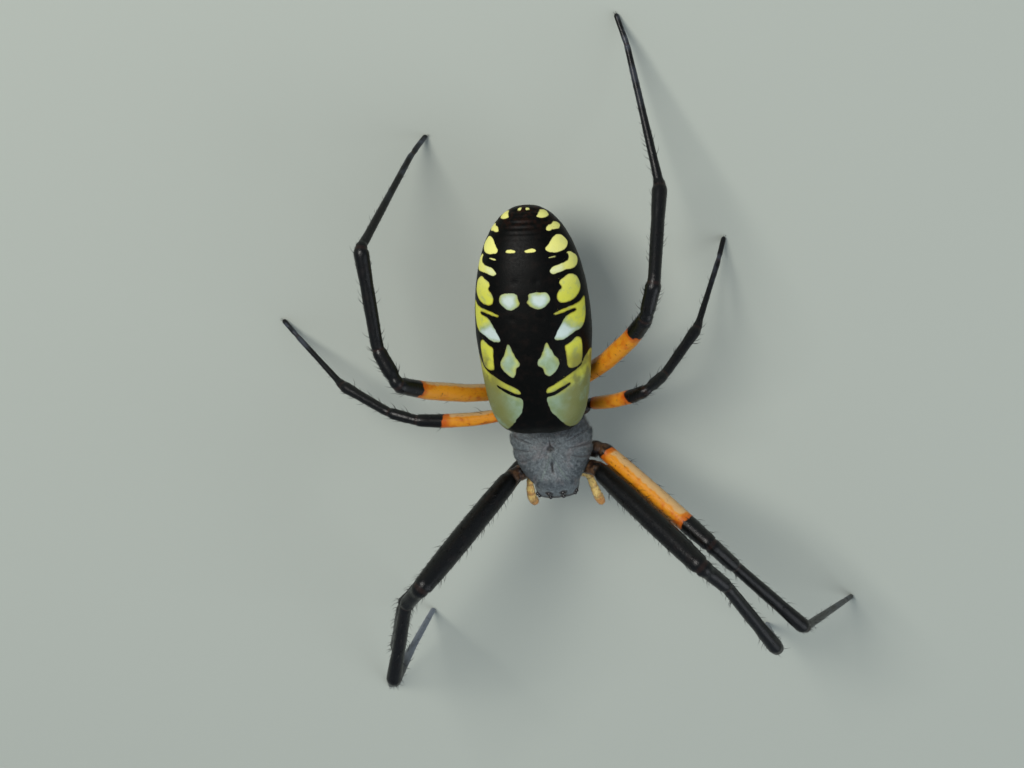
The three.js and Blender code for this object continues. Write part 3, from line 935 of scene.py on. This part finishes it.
def carry_fields(mesh, forms):
    """Gives each vertex of the joined skin the fields of the nearest vertex of the forms."""
    points = np.concatenate([form.points for form in forms])
    tree = KDTree(len(points))
    for i, point in enumerate(points):
        tree.insert(point, i)
    tree.balance()
    nearest = np.array([tree.find(vertex.co)[1] for vertex in mesh.vertices])
    for name in FIELDS:
        values = np.concatenate([form.fields[name] for form in forms])[nearest]
        scale = 1 / mm if name in ("mark", "pale") else 1
        set_attribute(mesh, name, values * scale)
    lie = np.concatenate([form.lie for form in forms])[nearest]
    layer = mesh.attributes.new("lie", "FLOAT_VECTOR", "POINT")
    layer.data.foreach_set("vector", lie.astype(np.float32).reshape(-1))


def set_attribute(mesh, name, values):
    layer = mesh.attributes.new(name, "FLOAT", "POINT")
    layer.data.foreach_set("value", np.asarray(values, np.float32))


def smooth(mesh, crease=50):
    """Smooth shading, except where faces meet at more than the crease's degrees."""
    mesh.polygons.foreach_set("use_smooth", np.ones(len(mesh.polygons), bool))
    mesh.set_sharp_from_angle(angle=math.radians(crease))
    mesh.update()


# ---- materials ----

def paint(red, green, blue):
    """A colour from 0-255 screen values."""
    def linear(value):
        value /= 255
        return value / 12.92 if value <= 0.04045 else ((value + 0.055) / 1.055) ** 2.4
    return (linear(red), linear(green), linear(blue), 1.0)


class Look:
    """A procedural material: short names for its nodes, with textures measured in millimetres."""

    def __init__(self, name):
        self.material = bpy.data.materials.new(name)
        self.material.use_nodes = True
        self.tree = self.material.node_tree
        self.shader = self.tree.nodes["Principled BSDF"]
        place = self.tree.nodes.new("ShaderNodeTexCoord").outputs["Object"]
        self.place = self.node("VectorMath", {0: place, "Scale": 1 / mm}, operation="SCALE")[0]

    def feed(self, socket, value):
        if isinstance(value, bpy.types.NodeSocket):
            self.tree.links.new(value, socket)
        else:
            socket.default_value = value

    def node(self, kind, inputs, **settings):
        """The outputs of a new node of a kind, with its inputs by name or number."""
        node = self.tree.nodes.new(f"ShaderNode{kind}")
        for name, value in settings.items():
            setattr(node, name, value)
        for key, value in inputs.items():
            self.feed(node.inputs[key], value)
        return node.outputs

    def field(self, name):
        return self.node("Attribute", {}, attribute_name=name)["Fac"]

    def noise(self, scale, detail=2.0):
        """A noise of so many features in a millimetre, from about 0.3 to 0.7."""
        return self.node("TexNoise", {"Scale": scale, "Detail": detail, "Vector": self.place})["Fac"]

    def cells(self, scale):
        """The distance to the middle of the nearest of scattered cells, from 0."""
        return self.node("TexVoronoi", {"Scale": scale, "Vector": self.place})["Distance"]

    def calc(self, operation, *values):
        return self.node("Math", dict(enumerate(values)), operation=operation)[0]

    def ramp(self, value, low, high):
        """A smooth rise from 0 at low to 1 at high, of a value or of a field by its name."""
        value = self.field(value) if isinstance(value, str) else value
        first, last = (0.0, 1.0) if low <= high else (1.0, 0.0)
        inputs = {"Value": value, "From Min": min(low, high), "From Max": max(low, high),
                  "To Min": first, "To Max": last}
        return self.node("MapRange", inputs, interpolation_type="SMOOTHSTEP")["Result"]

    def patches(self, scale, detail, low, high):
        """Soft patches of noise, from 0 to 1."""
        return self.ramp(self.noise(scale, detail), low, high)

    def both(self, *shares):
        """The product of some shares."""
        product = shares[0]
        for share in shares[1:]:
            product = self.calc("MULTIPLY", product, share)
        return product

    def mix(self, share, first, second):
        return self.node("Mix", {0: share, 6: first, 7: second}, data_type="RGBA")[2]

    def over(self, colour, top, *shares):
        """A colour with another laid over it, by the product of some shares."""
        return self.mix(self.both(*shares), colour, top)

    def wobbled(self, name, amount, scale=2.2):
        """A field with its edges made uneven by some millimetres."""
        uneven = self.calc("SUBTRACT", self.noise(scale, 3.0), 0.5)
        return self.calc("MULTIPLY_ADD", uneven, amount * 2, self.field(name))

    def set_shine(self, level):
        self.shader.inputs["Specular IOR Level"].default_value = level

    def finish(self, colour, roughness, height=None, depth=0.02):
        """Sets the colour, the roughness and a bump of some millimetres."""
        self.feed(self.shader.inputs["Base Color"], colour)
        self.feed(self.shader.inputs["Roughness"], roughness)
        if height is not None:
            inputs = {"Strength": 1.0, "Distance": depth * mm, "Height": height}
            self.feed(self.shader.inputs["Normal"], self.node("Bump", inputs)["Normal"])
        return self.material


BLACK = paint(5, 6, 5)
WARM_BLACK = paint(18, 13, 10)
YELLOW = paint(206, 208, 78)
# painted light: a bright yellow laid over the rear marks
LIT_LEMON = paint(250, 246, 150)
DEEP_YELLOW = paint(150, 142, 44)
WHITE = paint(216, 230, 232)
PALE = paint(158, 182, 158)
PALE_GREEN = paint(138, 158, 118)
OLIVE = paint(130, 126, 62)
# painted shade: a dark olive laid over the front marks
SHADED = paint(84, 98, 66)
ORANGE = paint(220, 144, 32)
DEEP_ORANGE = paint(200, 104, 20)
CREAM = paint(204, 174, 124)
SILVER = paint(112, 120, 122)
SLATE = paint(80, 88, 90)
AMBER = paint(244, 212, 128)
BROWN = paint(84, 62, 44)
RED_BROWN = paint(100, 50, 28)
# painted sheen on the black ends of the legs
SHEEN_GREY_BLUE = paint(112, 120, 134)
DUSKY_PINK = paint(128, 104, 100)


def mark_colour(look):
    """The colours of the abdomen's marks, pale green to yellow, and olive down the flanks, with painted shade
    darkening them toward the front and painted light brightening them toward the rear.
    """
    yellow = look.mix(look.ramp("mark", 0.0, 0.16), DEEP_YELLOW, YELLOW)
    yellow = look.over(yellow, PALE_GREEN, look.patches(1.6, 3, 0.48, 0.7), 0.5)
    light = look.mix(look.patches(1.3, 4, 0.3, 0.7), PALE_GREEN, PALE)
    whole = look.mix(look.ramp(look.wobbled("pale", 0.5, 1.0), -0.4, 0.4), yellow, light)
    flank = look.both(look.ramp("upper", 0.98, 0.7), look.ramp("along", 0.42, 0.34))
    whole = look.over(whole, OLIVE, flank, look.patches(0.8, 3, 0.25, 0.52), 0.85)
    core = look.ramp(look.wobbled("pale", 0.3, 1.0), 0.05, 0.5)
    whole = look.over(whole, WHITE, core, look.ramp("along", 0.34, 0.46), 0.66)
    # Painted shade: the marks are darkened toward the front of the abdomen.
    whole = look.over(whole, SHADED, look.ramp("along", 0.42, 0.1), 0.4)
    # Painted light: the marks are brightened toward the rear of the abdomen.
    return look.over(whole, LIT_LEMON, look.ramp("along", 0.6, 0.82), 0.75)


def abdomen_look():
    look = Look("abdomen_skin")
    ground = look.mix(look.patches(1.6, 4, 0.45, 0.8), BLACK, WARM_BLACK)
    below = look.both(look.ramp("upper", 0.25, -0.1), look.patches(0.5, 2, 0.42, 0.58))
    ground = look.over(ground, DEEP_YELLOW, look.both(look.ramp(look.cells(2.6), 0.22, 0.12), below), 0.8)
    worn = look.both(look.ramp("along", 0.88, 0.97), look.patches(2.5, 2, 0.45, 0.62))
    ground = look.over(ground, RED_BROWN, worn, 0.1)
    inside = look.ramp(look.wobbled("mark", 0.06, 3.0), -0.02, 0.05)
    colour = look.mix(inside, ground, mark_colour(look))
    colour = look.over(colour, BLACK, look.ramp(look.wobbled("groove", 0.25, 2.5), 0.35, 0.75))
    grain = look.calc("MULTIPLY_ADD", look.ramp(look.cells(7.0), 0.0, 0.5), 0.6, look.noise(14.0, 3.0))
    rough = look.calc("MULTIPLY_ADD", look.noise(6.0), 0.3, 0.3)
    look.set_shine(0.08)
    return look.finish(colour, rough, grain, 0.006)


def prosoma_look():
    look = Look("carapace_skin")
    colour = look.mix(look.patches(7.0, 4, 0.35, 0.65), SLATE, SILVER)
    colour = look.over(colour, DUSKY_PINK, look.patches(0.8, 2, 0.52, 0.66), 0.25)
    colour = look.over(colour, PALE, look.ramp("pale", 0.2, 0.9), 0.22)
    colour = look.over(colour, paint(34, 31, 30), look.ramp("groove", 0.1, 0.7), 0.85)
    colour = look.over(colour, paint(46, 40, 36), look.ramp("along", 0.07, 0.03), 0.8)
    below = look.both(look.ramp("upper", 0.45, 0.1), look.ramp("along", 0.02, 0.09))
    colour = look.over(colour, WARM_BLACK, below)
    colour = look.over(colour, YELLOW, below, look.ramp(look.wobbled("mark", 0.1), -0.02, 0.06))
    return look.finish(colour, 0.55, look.noise(12.0, 3.0), 0.03)


def orange_colour(look, edge):
    """The femora's orange, redder at its ends and dotted, with a cream strip along the rear: partly the
    femora's paler hairs and partly a painted highlight of light from the rear.
    """
    orange = look.mix(look.patches(1.4, 3, 0.45, 0.75), ORANGE, DEEP_ORANGE)
    orange = look.over(orange, paint(176, 62, 14), look.ramp(edge, 0.9, 0.1), 0.7)
    dots = look.both(look.ramp(look.cells(1.9), 0.15, 0.08), look.patches(1.1, 2, 0.42, 0.55))
    orange = look.over(orange, RED_BROWN, dots, 0.8)
    # The cream strip is partly paler hairs and partly a painted highlight of light from the rear.
    return look.over(orange, CREAM, look.ramp(look.wobbled("pale", 0.16, 2.0), 0.0, 0.16), 0.8)


def leg_look():
    look = Look("leg_skin")
    edge = look.wobbled("mark", 0.5, 1.6)
    ground = look.mix(look.patches(1.3, 3, 0.5, 0.8), BLACK, WARM_BLACK)
    # Painted sheen: grey-blue over the black of the metatarsi and tarsi, and more strongly over the first
    # pair's.
    feet = look.both(look.ramp("along", 4.3, 5.2), look.patches(0.8, 2, 0.42, 0.62))
    ground = look.over(ground, SHEEN_GREY_BLUE, feet, 0.3)
    first_pair = look.ramp("mark", NO_ORANGE / mm + 5, NO_ORANGE / mm + 2)
    ground = look.over(ground, SHEEN_GREY_BLUE, look.ramp("along", 4.1, 4.5), first_pair, 0.85)
    colour = look.mix(look.ramp(edge, -0.04, 0.1), ground, orange_colour(look, edge))
    brown = look.mix(look.patches(1.6, 3, 0.4, 0.62), BROWN, WARM_BLACK)
    colour = look.over(colour, brown, look.ramp("along", 1.06, 1.02))
    colour = look.over(colour, paint(50, 30, 22), look.ramp("groove", 0.5, 0.95), 0.4)
    rough = look.calc("MULTIPLY_ADD", look.noise(5.0), 0.25, 0.2)
    grain = look.calc("MULTIPLY_ADD", look.ramp(look.cells(6.0), 0.0, 0.5), 0.5, look.noise(15.0, 3.0))
    look.set_shine(0.32)
    return look.finish(colour, rough, grain, 0.012)


def mouth_look():
    look = Look("mouth_skin")
    amber = look.mix(look.patches(2.4, 3, 0.4, 0.7), AMBER, paint(216, 158, 84))
    amber = look.over(amber, paint(224, 132, 36), look.ramp("along", 0.68, 0.88), 0.75)
    jaw = look.mix(look.patches(2.0, 3, 0.4, 0.7), paint(170, 112, 48), BROWN)
    colour = look.over(amber, jaw, look.ramp("along", ALONG_JAW - 0.8, ALONG_JAW - 0.2))
    colour = look.over(colour, WARM_BLACK, look.ramp("along", ALONG_MAXILLA - 0.8, ALONG_MAXILLA - 0.2))
    colour = look.over(colour, BROWN, look.ramp("groove", 0.4, 1.0), 0.35)
    return look.finish(colour, 0.4, look.noise(12.0, 3.0), 0.02)


def rear_look():
    look = Look("spinneret_skin")
    colour = look.mix(look.patches(2.4, 3, 0.4, 0.7), RED_BROWN, BROWN)
    colour = look.over(colour, WARM_BLACK, look.ramp("along", ALONG_WAIST - 0.6, ALONG_WAIST - 0.1))
    return look.finish(colour, 0.5, look.noise(12.0, 3.0), 0.02)


def plain_look(name, colour, roughness, coat=0.0):
    look = Look(name)
    look.shader.inputs["Coat Weight"].default_value = coat
    darker = tuple(0.8 * value for value in colour[:3]) + (1.0,)
    return look.finish(look.mix(look.patches(3.0, 2, 0.4, 0.7), colour, darker), roughness)


# ---- eyes, fangs and claws ----

def eye_pieces(body):
    look = plain_look("eye_glass", paint(16, 9, 7), 0.1, coat=0.4)
    for node in EYES:
        middle, radius = fitted_ball(node, body)
        axis = unit(middle - body.middle)
        form = blob(MOUTH, middle, axis, np.full(3, radius), (0, 0, 1, 1), rings=16, sides=24)
        eye = hard_piece(f"{node}_ball", look, form.points, form.faces, form.map)
        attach(eye, "root")
        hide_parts(node)


def fang_pieces(body):
    look = plain_look("fang_horn", paint(30, 16, 10), 0.15, coat=0.4)
    for side in SIDES:
        node = f"fang_{side}"
        points = corners(node)
        _, radius, way = far_end(node, body.middle)
        middle = points.mean(0)
        reach = np.abs((points - middle) @ way).max()
        line = np.array([middle - way * reach * 0.9, middle + up_z * -0.08 * mm, middle + way * reach * 0.85])
        stations = np.linspace(0, distances(line)[-1], 16)
        limb = Limb(line, np.array([1.15, 0.8, 0.22]) * radius, stations, sides=18, corner=0.2 * mm)
        form = limb.form(MOUTH, (0, 0, 1, 1))
        fang = hard_piece(f"fang_{side}_horn", look, form.points, form.faces, form.map)
        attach(fang, "root")
        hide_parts(node)


CLAW_RING = -DOME_RINGS - 2  # of a leg's rings, just before its domed end


def claw_piece(legs):
    """Two small curved claws at each foot, as one piece."""
    points, faces, spots = [], [], []
    for i, limb in enumerate(legs):
        tip, way, across = limb.middle[CLAW_RING], limb.way[CLAW_RING], limb.across[CLAW_RING]
        level = unit(way * [1, 1, 0] + 1e-6)
        for j, side in enumerate((-1, 1)):
            start = tip + across * side * 0.07 * mm
            line = np.array([start, start + (way * 0.5 + level * 0.5) * 0.24 * mm,
                             start + (level * 0.36 + way * 0.1) * mm])
            line[:, 2] = np.maximum(line[:, 2], 0.05 * mm)
            stations = np.linspace(0, distances(line)[-1], 8)
            claw = Limb(line, np.array([0.06, 0.055, 0.03]) * mm, stations, sides=8, corner=0.06 * mm)
            form = claw.form(MOUTH, map_cell((0, 0, 1, 1), 4, 4, 2 * i + j))
            faces += [tuple(corner + len(points) for corner in face) for face in form.faces]
            points += list(form.points)
            spots += form.map
    claws = hard_piece("claws", plain_look("claw_horn", paint(26, 18, 14), 0.3), points, faces, spots)
    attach(claws, "root")


# ---- hair ----

class Roots:
    """Places on the skin to grow hairs from, drawn evenly over the faces of some of its parts."""

    def __init__(self, skin, parts, count, seed, chance=None):
        draw = np.random.default_rng(seed)
        mesh = skin.data
        mesh.calc_loop_triangles()
        faces = mesh.loop_triangles
        index = read(faces, "vertices", np.int32, 3)
        loops = read(faces, "loops", np.int32, 3)
        part = read(mesh.attributes["part"].data, "value", np.int32)[read(faces, "polygon_index", np.int32)]
        place = vectors(mesh.vertices, "co")
        normal = vectors(mesh.vertices, "normal")
        lie = vectors(mesh.attributes["lie"].data, "vector")
        spot = read(mesh.uv_layers["OFBake"].data, "uv", np.float32, 2)
        fields = {name: read(mesh.attributes[name].data, "value", np.float32) for name in FIELDS}
        corner = place[index]
        area = np.linalg.norm(np.cross(corner[:, 1] - corner[:, 0], corner[:, 2] - corner[:, 0]), axis=1)
        area = area * np.isin(part, parts)
        if chance is not None:
            area = area * chance({name: values[index].mean(1) for name, values in fields.items()})
        chosen = draw.choice(len(faces), size=count, p=area / area.sum())
        share = draw.random((count, 2))
        flip = share.sum(1) > 1
        share[flip] = 1 - share[flip]
        weight = np.concatenate([1 - share.sum(1, keepdims=True), share], 1)

        def blend(values):
            return np.einsum("nk,nk...->n...", weight, values)

        self.draw = draw
        self.count = count
        self.place = blend(place[index[chosen]])
        self.normal = unit(blend(normal[index[chosen]]))
        self.lie = blend(lie[index[chosen]])
        self.spot = blend(spot[loops[chosen]])
        self.fields = {name: blend(values[index[chosen]]) for name, values in fields.items()}

    def along_skin(self):
        """The unit direction that the hair lies in at each root."""
        flat = self.lie - self.normal * (self.lie * self.normal).sum(1, keepdims=True)
        return unit(flat)


PATCH = 0.003  # across each hair's place on the map
# A hair is two rings of three points and a tip.
HAIR_POINTS = 7
HAIR_FACES = [
    (0, 1, 4), (0, 4, 3), (1, 2, 5), (1, 5, 4), (2, 0, 3), (2, 3, 5),  # the sides
    (3, 4, 6), (4, 5, 6), (5, 3, 6),  # the tip
    (0, 2, 1),  # the base
]
HAIR_MAP = [(0, 0), (0.5, 0), (1, 0), (0, 0.5), (0.5, 0.5), (1, 0.5), (0.5, 1)]


def hair_piece(name, roots, length, radius, lift, look, stray, bend=0.5, sink=0.05 * mm):
    """Tapered three-sided hairs on their roots: length, radius and lift (0 flat, 1 upright) for each."""
    count, draw = roots.count, roots.draw
    flat = roots.along_skin()
    side = np.cross(roots.normal, flat)
    turn = draw.normal(0, stray, count)[:, None]
    flat = flat * np.cos(turn) + side * np.sin(turn)
    length = (np.broadcast_to(length, count) * draw.uniform(0.7, 1.25, count))[:, None]
    radius = np.broadcast_to(radius, count)[:, None]
    lift = np.clip(np.broadcast_to(lift, count) * draw.uniform(0.7, 1.3, count), 0.02, 1)[:, None]
    way = unit(flat * np.sqrt(1 - lift ** 2) + roots.normal * lift)
    over = unit(flat * (1 - bend * lift) + roots.normal * lift * (1 - bend))
    across = unit(np.cross(way, roots.normal + 1e-9))
    above = np.cross(across, way)
    start = roots.place - roots.normal * sink
    middle = start + way * length * 0.5
    tip = middle + over * length * 0.5
    points = np.empty((count, HAIR_POINTS, 3))
    for k in range(3):
        angle = 2 * math.pi * k / 3 + 0.5
        out = across * math.cos(angle) + above * math.sin(angle)
        points[:, k] = start + out * radius
        points[:, 3 + k] = middle + out * radius * 0.62
    points[:, 6] = tip
    points[..., 2] = np.maximum(points[..., 2], 0.005 * mm)
    first = HAIR_POINTS * np.arange(count)[:, None, None]
    faces = (np.array(HAIR_FACES)[None] + first).reshape(-1, 3)
    spots = roots.spot[:, None] + (np.array(HAIR_MAP) - 0.5) * PATCH
    spots = np.clip(spots, 0.001, 0.999).reshape(-1, 2)
    hair = new_object(name, points.reshape(-1, 3), faces, spots[faces.reshape(-1)])
    for field in FIELDS:
        set_attribute(hair.data, field, np.repeat(roots.fields[field], HAIR_POINTS))
    hair.data.materials.append(look)
    hair.data.shade_smooth()
    hair.data.validate()
    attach(hair, "root")


def setae_look(name, dark, light, roughness=0.4):
    look = Look(name)
    return look.finish(look.mix(look.patches(4.0, 1, 0.4, 0.65), dark, light), roughness)


def carapace_coat(skin):
    """Flat silver down over the carapace, lying out from its middle, thinner over the face."""
    def chance(fields):
        above = smoothstep(0.25, 0.7, fields["upper"])
        clypeus = 0.6 * smoothstep(0.09, 0.03, fields["along"]) * smoothstep(-0.3, 0.1, fields["upper"])
        above = np.maximum(above, clypeus)
        return above * (1 - 0.95 * fields["groove"]) * (0.25 + 0.75 * smoothstep(0.06, 0.2, fields["along"]))

    look = setae_look("silver_down", paint(98, 106, 110), paint(142, 150, 152), 0.5)
    roots = Roots(skin, [PROSOMA], count=18000, seed=11, chance=chance)
    face = smoothstep(0.3, 0.08, roots.fields["along"])
    hair_piece("carapace_down", roots, length=(0.5 - 0.28 * face) * mm, radius=0.011 * mm, lift=0.12,
               look=look, stray=0.18)


def leg_coat(skin):
    """Short black hairs lying along the legs, and longer, stouter spines that stand out."""
    look = setae_look("leg_setae_horn", paint(6, 6, 6), paint(22, 19, 17), 0.35)

    def beyond_coxa(fields):
        return (fields["along"] > 0.6) * np.where(fields["mark"] > 0, 0.35, 1.0)

    roots = Roots(skin, [LEG], count=17000, seed=21, chance=beyond_coxa)
    foot = smoothstep(4.4, 5.4, roots.fields["along"])
    hair_piece("leg_setae", roots, length=(0.4 - 0.22 * foot) * mm, radius=0.01 * mm, lift=0.26,
               look=look, stray=0.25)

    def on_spined(fields):
        course = fields["along"]
        return (course > 1.15) * (course < 4.9) * np.where(fields["mark"] > 0.3, 0.2, 1.0)

    roots = Roots(skin, [LEG], count=1100, seed=22, chance=on_spined)
    foot = smoothstep(4.0, 4.8, roots.fields["along"])
    hair_piece("leg_spines", roots, length=(0.74 - 0.3 * foot) * mm, radius=(0.024 - 0.008 * foot) * mm,
               lift=0.62, look=look, stray=0.3, bend=0.6)


def abdomen_coat(skin):
    """Sparse fine hairs, dark on the black and pale on the marks."""
    look = Look("abdomen_setae_horn")
    pale = look.mix(look.ramp("pale", -0.1, 0.2), YELLOW, PALE)
    look.set_shine(0.1)
    look.finish(look.mix(look.ramp("mark", -0.02, 0.05), paint(12, 10, 8), pale), 0.5)
    roots = Roots(skin, [ABDOMEN, REAR], count=7000, seed=31)
    hair_piece("abdomen_setae", roots, length=0.24 * mm, radius=0.007 * mm, lift=0.25,
               look=look.material, stray=0.35)


def mouth_coat(skin):
    look = setae_look("mouth_setae_horn", paint(90, 56, 24), paint(200, 154, 80), 0.4)
    roots = Roots(skin, [MOUTH], count=3500, seed=41)
    hair_piece("mouth_setae", roots, length=0.28 * mm, radius=0.009 * mm, lift=0.4,
               look=look, stray=0.35)


# ---- the stage ----

view_aim = np.array([-4.2455, 1.4268, 5.536]) * mm
view_turn = math.radians(4)
view_tilt = math.radians(27)  # from straight down, towards the tail
view_distance = 250 * mm
view_lens, view_sensor = 116.9, 36  # the lens and the sensor's width, in millimetres
floor_reach = 1.2  # metres to each side


def set_camera():
    toward = np.array([
        math.sin(view_turn),
        math.sin(view_tilt) * math.cos(view_turn),
        math.cos(view_tilt) * math.cos(view_turn),
    ])
    ahead = np.array([0.0, 1.0, 0.0])
    upward = unit(ahead - toward * (toward @ ahead))
    right = np.cross(upward, toward)
    data = bpy.data.cameras.new("camera")
    data.lens = view_lens
    data.sensor_width = view_sensor
    data.clip_start = 0.01
    camera = bpy.data.objects.new("camera", data)
    bpy.context.scene.collection.objects.link(camera)
    shift = Matrix.Translation(Vector(view_aim + toward * view_distance))
    turn = Matrix(np.stack([right, upward, toward], 1).tolist())
    camera.matrix_world = shift @ turn.to_4x4()
    bpy.context.scene.camera = camera


def area_light(name, place, power, size, colour):
    data = bpy.data.lights.new(name, "AREA")
    data.energy = power
    data.size = size
    data.color = colour
    light = bpy.data.objects.new(name, data)
    light.location = place
    way = Vector(view_aim) - Vector(place)
    light.rotation_euler = way.to_track_quat("-Z", "Y").to_euler()
    bpy.context.scene.collection.objects.link(light)


def set_stage():
    square = [(0, 0), (1, 0), (1, 1), (0, 1)]
    points = [((x * 2 - 1) * floor_reach, (y * 2 - 1) * floor_reach, 0) for x, y in square]
    floor = new_object("floor", points, [(0, 1, 2, 3)], square)
    look = Look("floor_paper")
    look.finish(paint(176, 182, 172), 0.85)
    floor.data.materials.append(look.material)
    world = bpy.data.worlds.new("studio")
    bpy.context.scene.world = world
    world.use_nodes = True
    world.node_tree.nodes["Background"].inputs["Color"].default_value = (0.75, 0.85, 1.0, 1)
    world.node_tree.nodes["Background"].inputs["Strength"].default_value = 0.35
    area_light("key", (-0.14, 0.2, 0.3), power=1.1, size=0.16, colour=(1, 0.97, 0.92))
    area_light("fill", (0.25, -0.12, 0.2), power=0.35, size=0.25, colour=(0.9, 0.95, 1))
    bpy.context.scene.view_settings.view_transform = "Standard"
    bpy.context.scene.view_settings.look = "None"


# ---- the spider ----

def flesh_nodes():
    names = ["abdomen", "cephalothorax", "pedicel", "spinnerets"]
    for side in SIDES:
        names += [f"pedipalp_{side}", f"chelicera_{side}"]
        names += [f"leg_{number}_{side}_{name}" for number in PAIRS for name in LEG_NODES]
    return names


def build_spider():
    abdomen, abdomen_frame = abdomen_form()
    prosoma, prosoma_frame = prosoma_form()
    surface = BVHTree.FromPolygons(*polygons("cephalothorax"))
    forms = [abdomen, prosoma, waist_form(), epigynum_form(abdomen_frame)] + spinneret_forms()
    forms += mouth_forms(prosoma_frame)
    legs = []
    for i, (side, number) in enumerate((side, number) for side in SIDES for number in PAIRS):
        form, limb = leg_form(side, number, surface, map_cell(MAP_LEGS, 8, 1, i))
        forms.append(form)
        legs.append(limb)
    for side in SIDES:
        forms += [palp_form(side, prosoma_frame), jaw_form(side, prosoma_frame)]
    skin = united(forms, "skin")
    for look in (abdomen_look(), prosoma_look(), leg_look(), mouth_look(), rear_look()):
        skin.data.materials.append(look)
    part = read(skin.data.attributes["part"].data, "value", np.int32)
    skin.data.polygons.foreach_set("material_index", part)
    smooth(skin.data)
    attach(skin, "root")
    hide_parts(*flesh_nodes())
    eye_pieces(prosoma_frame)
    fang_pieces(prosoma_frame)
    claw_piece(legs)
    carapace_coat(skin)
    leg_coat(skin)
    abdomen_coat(skin)
    mouth_coat(skin)


build_spider()
set_stage()
set_camera()
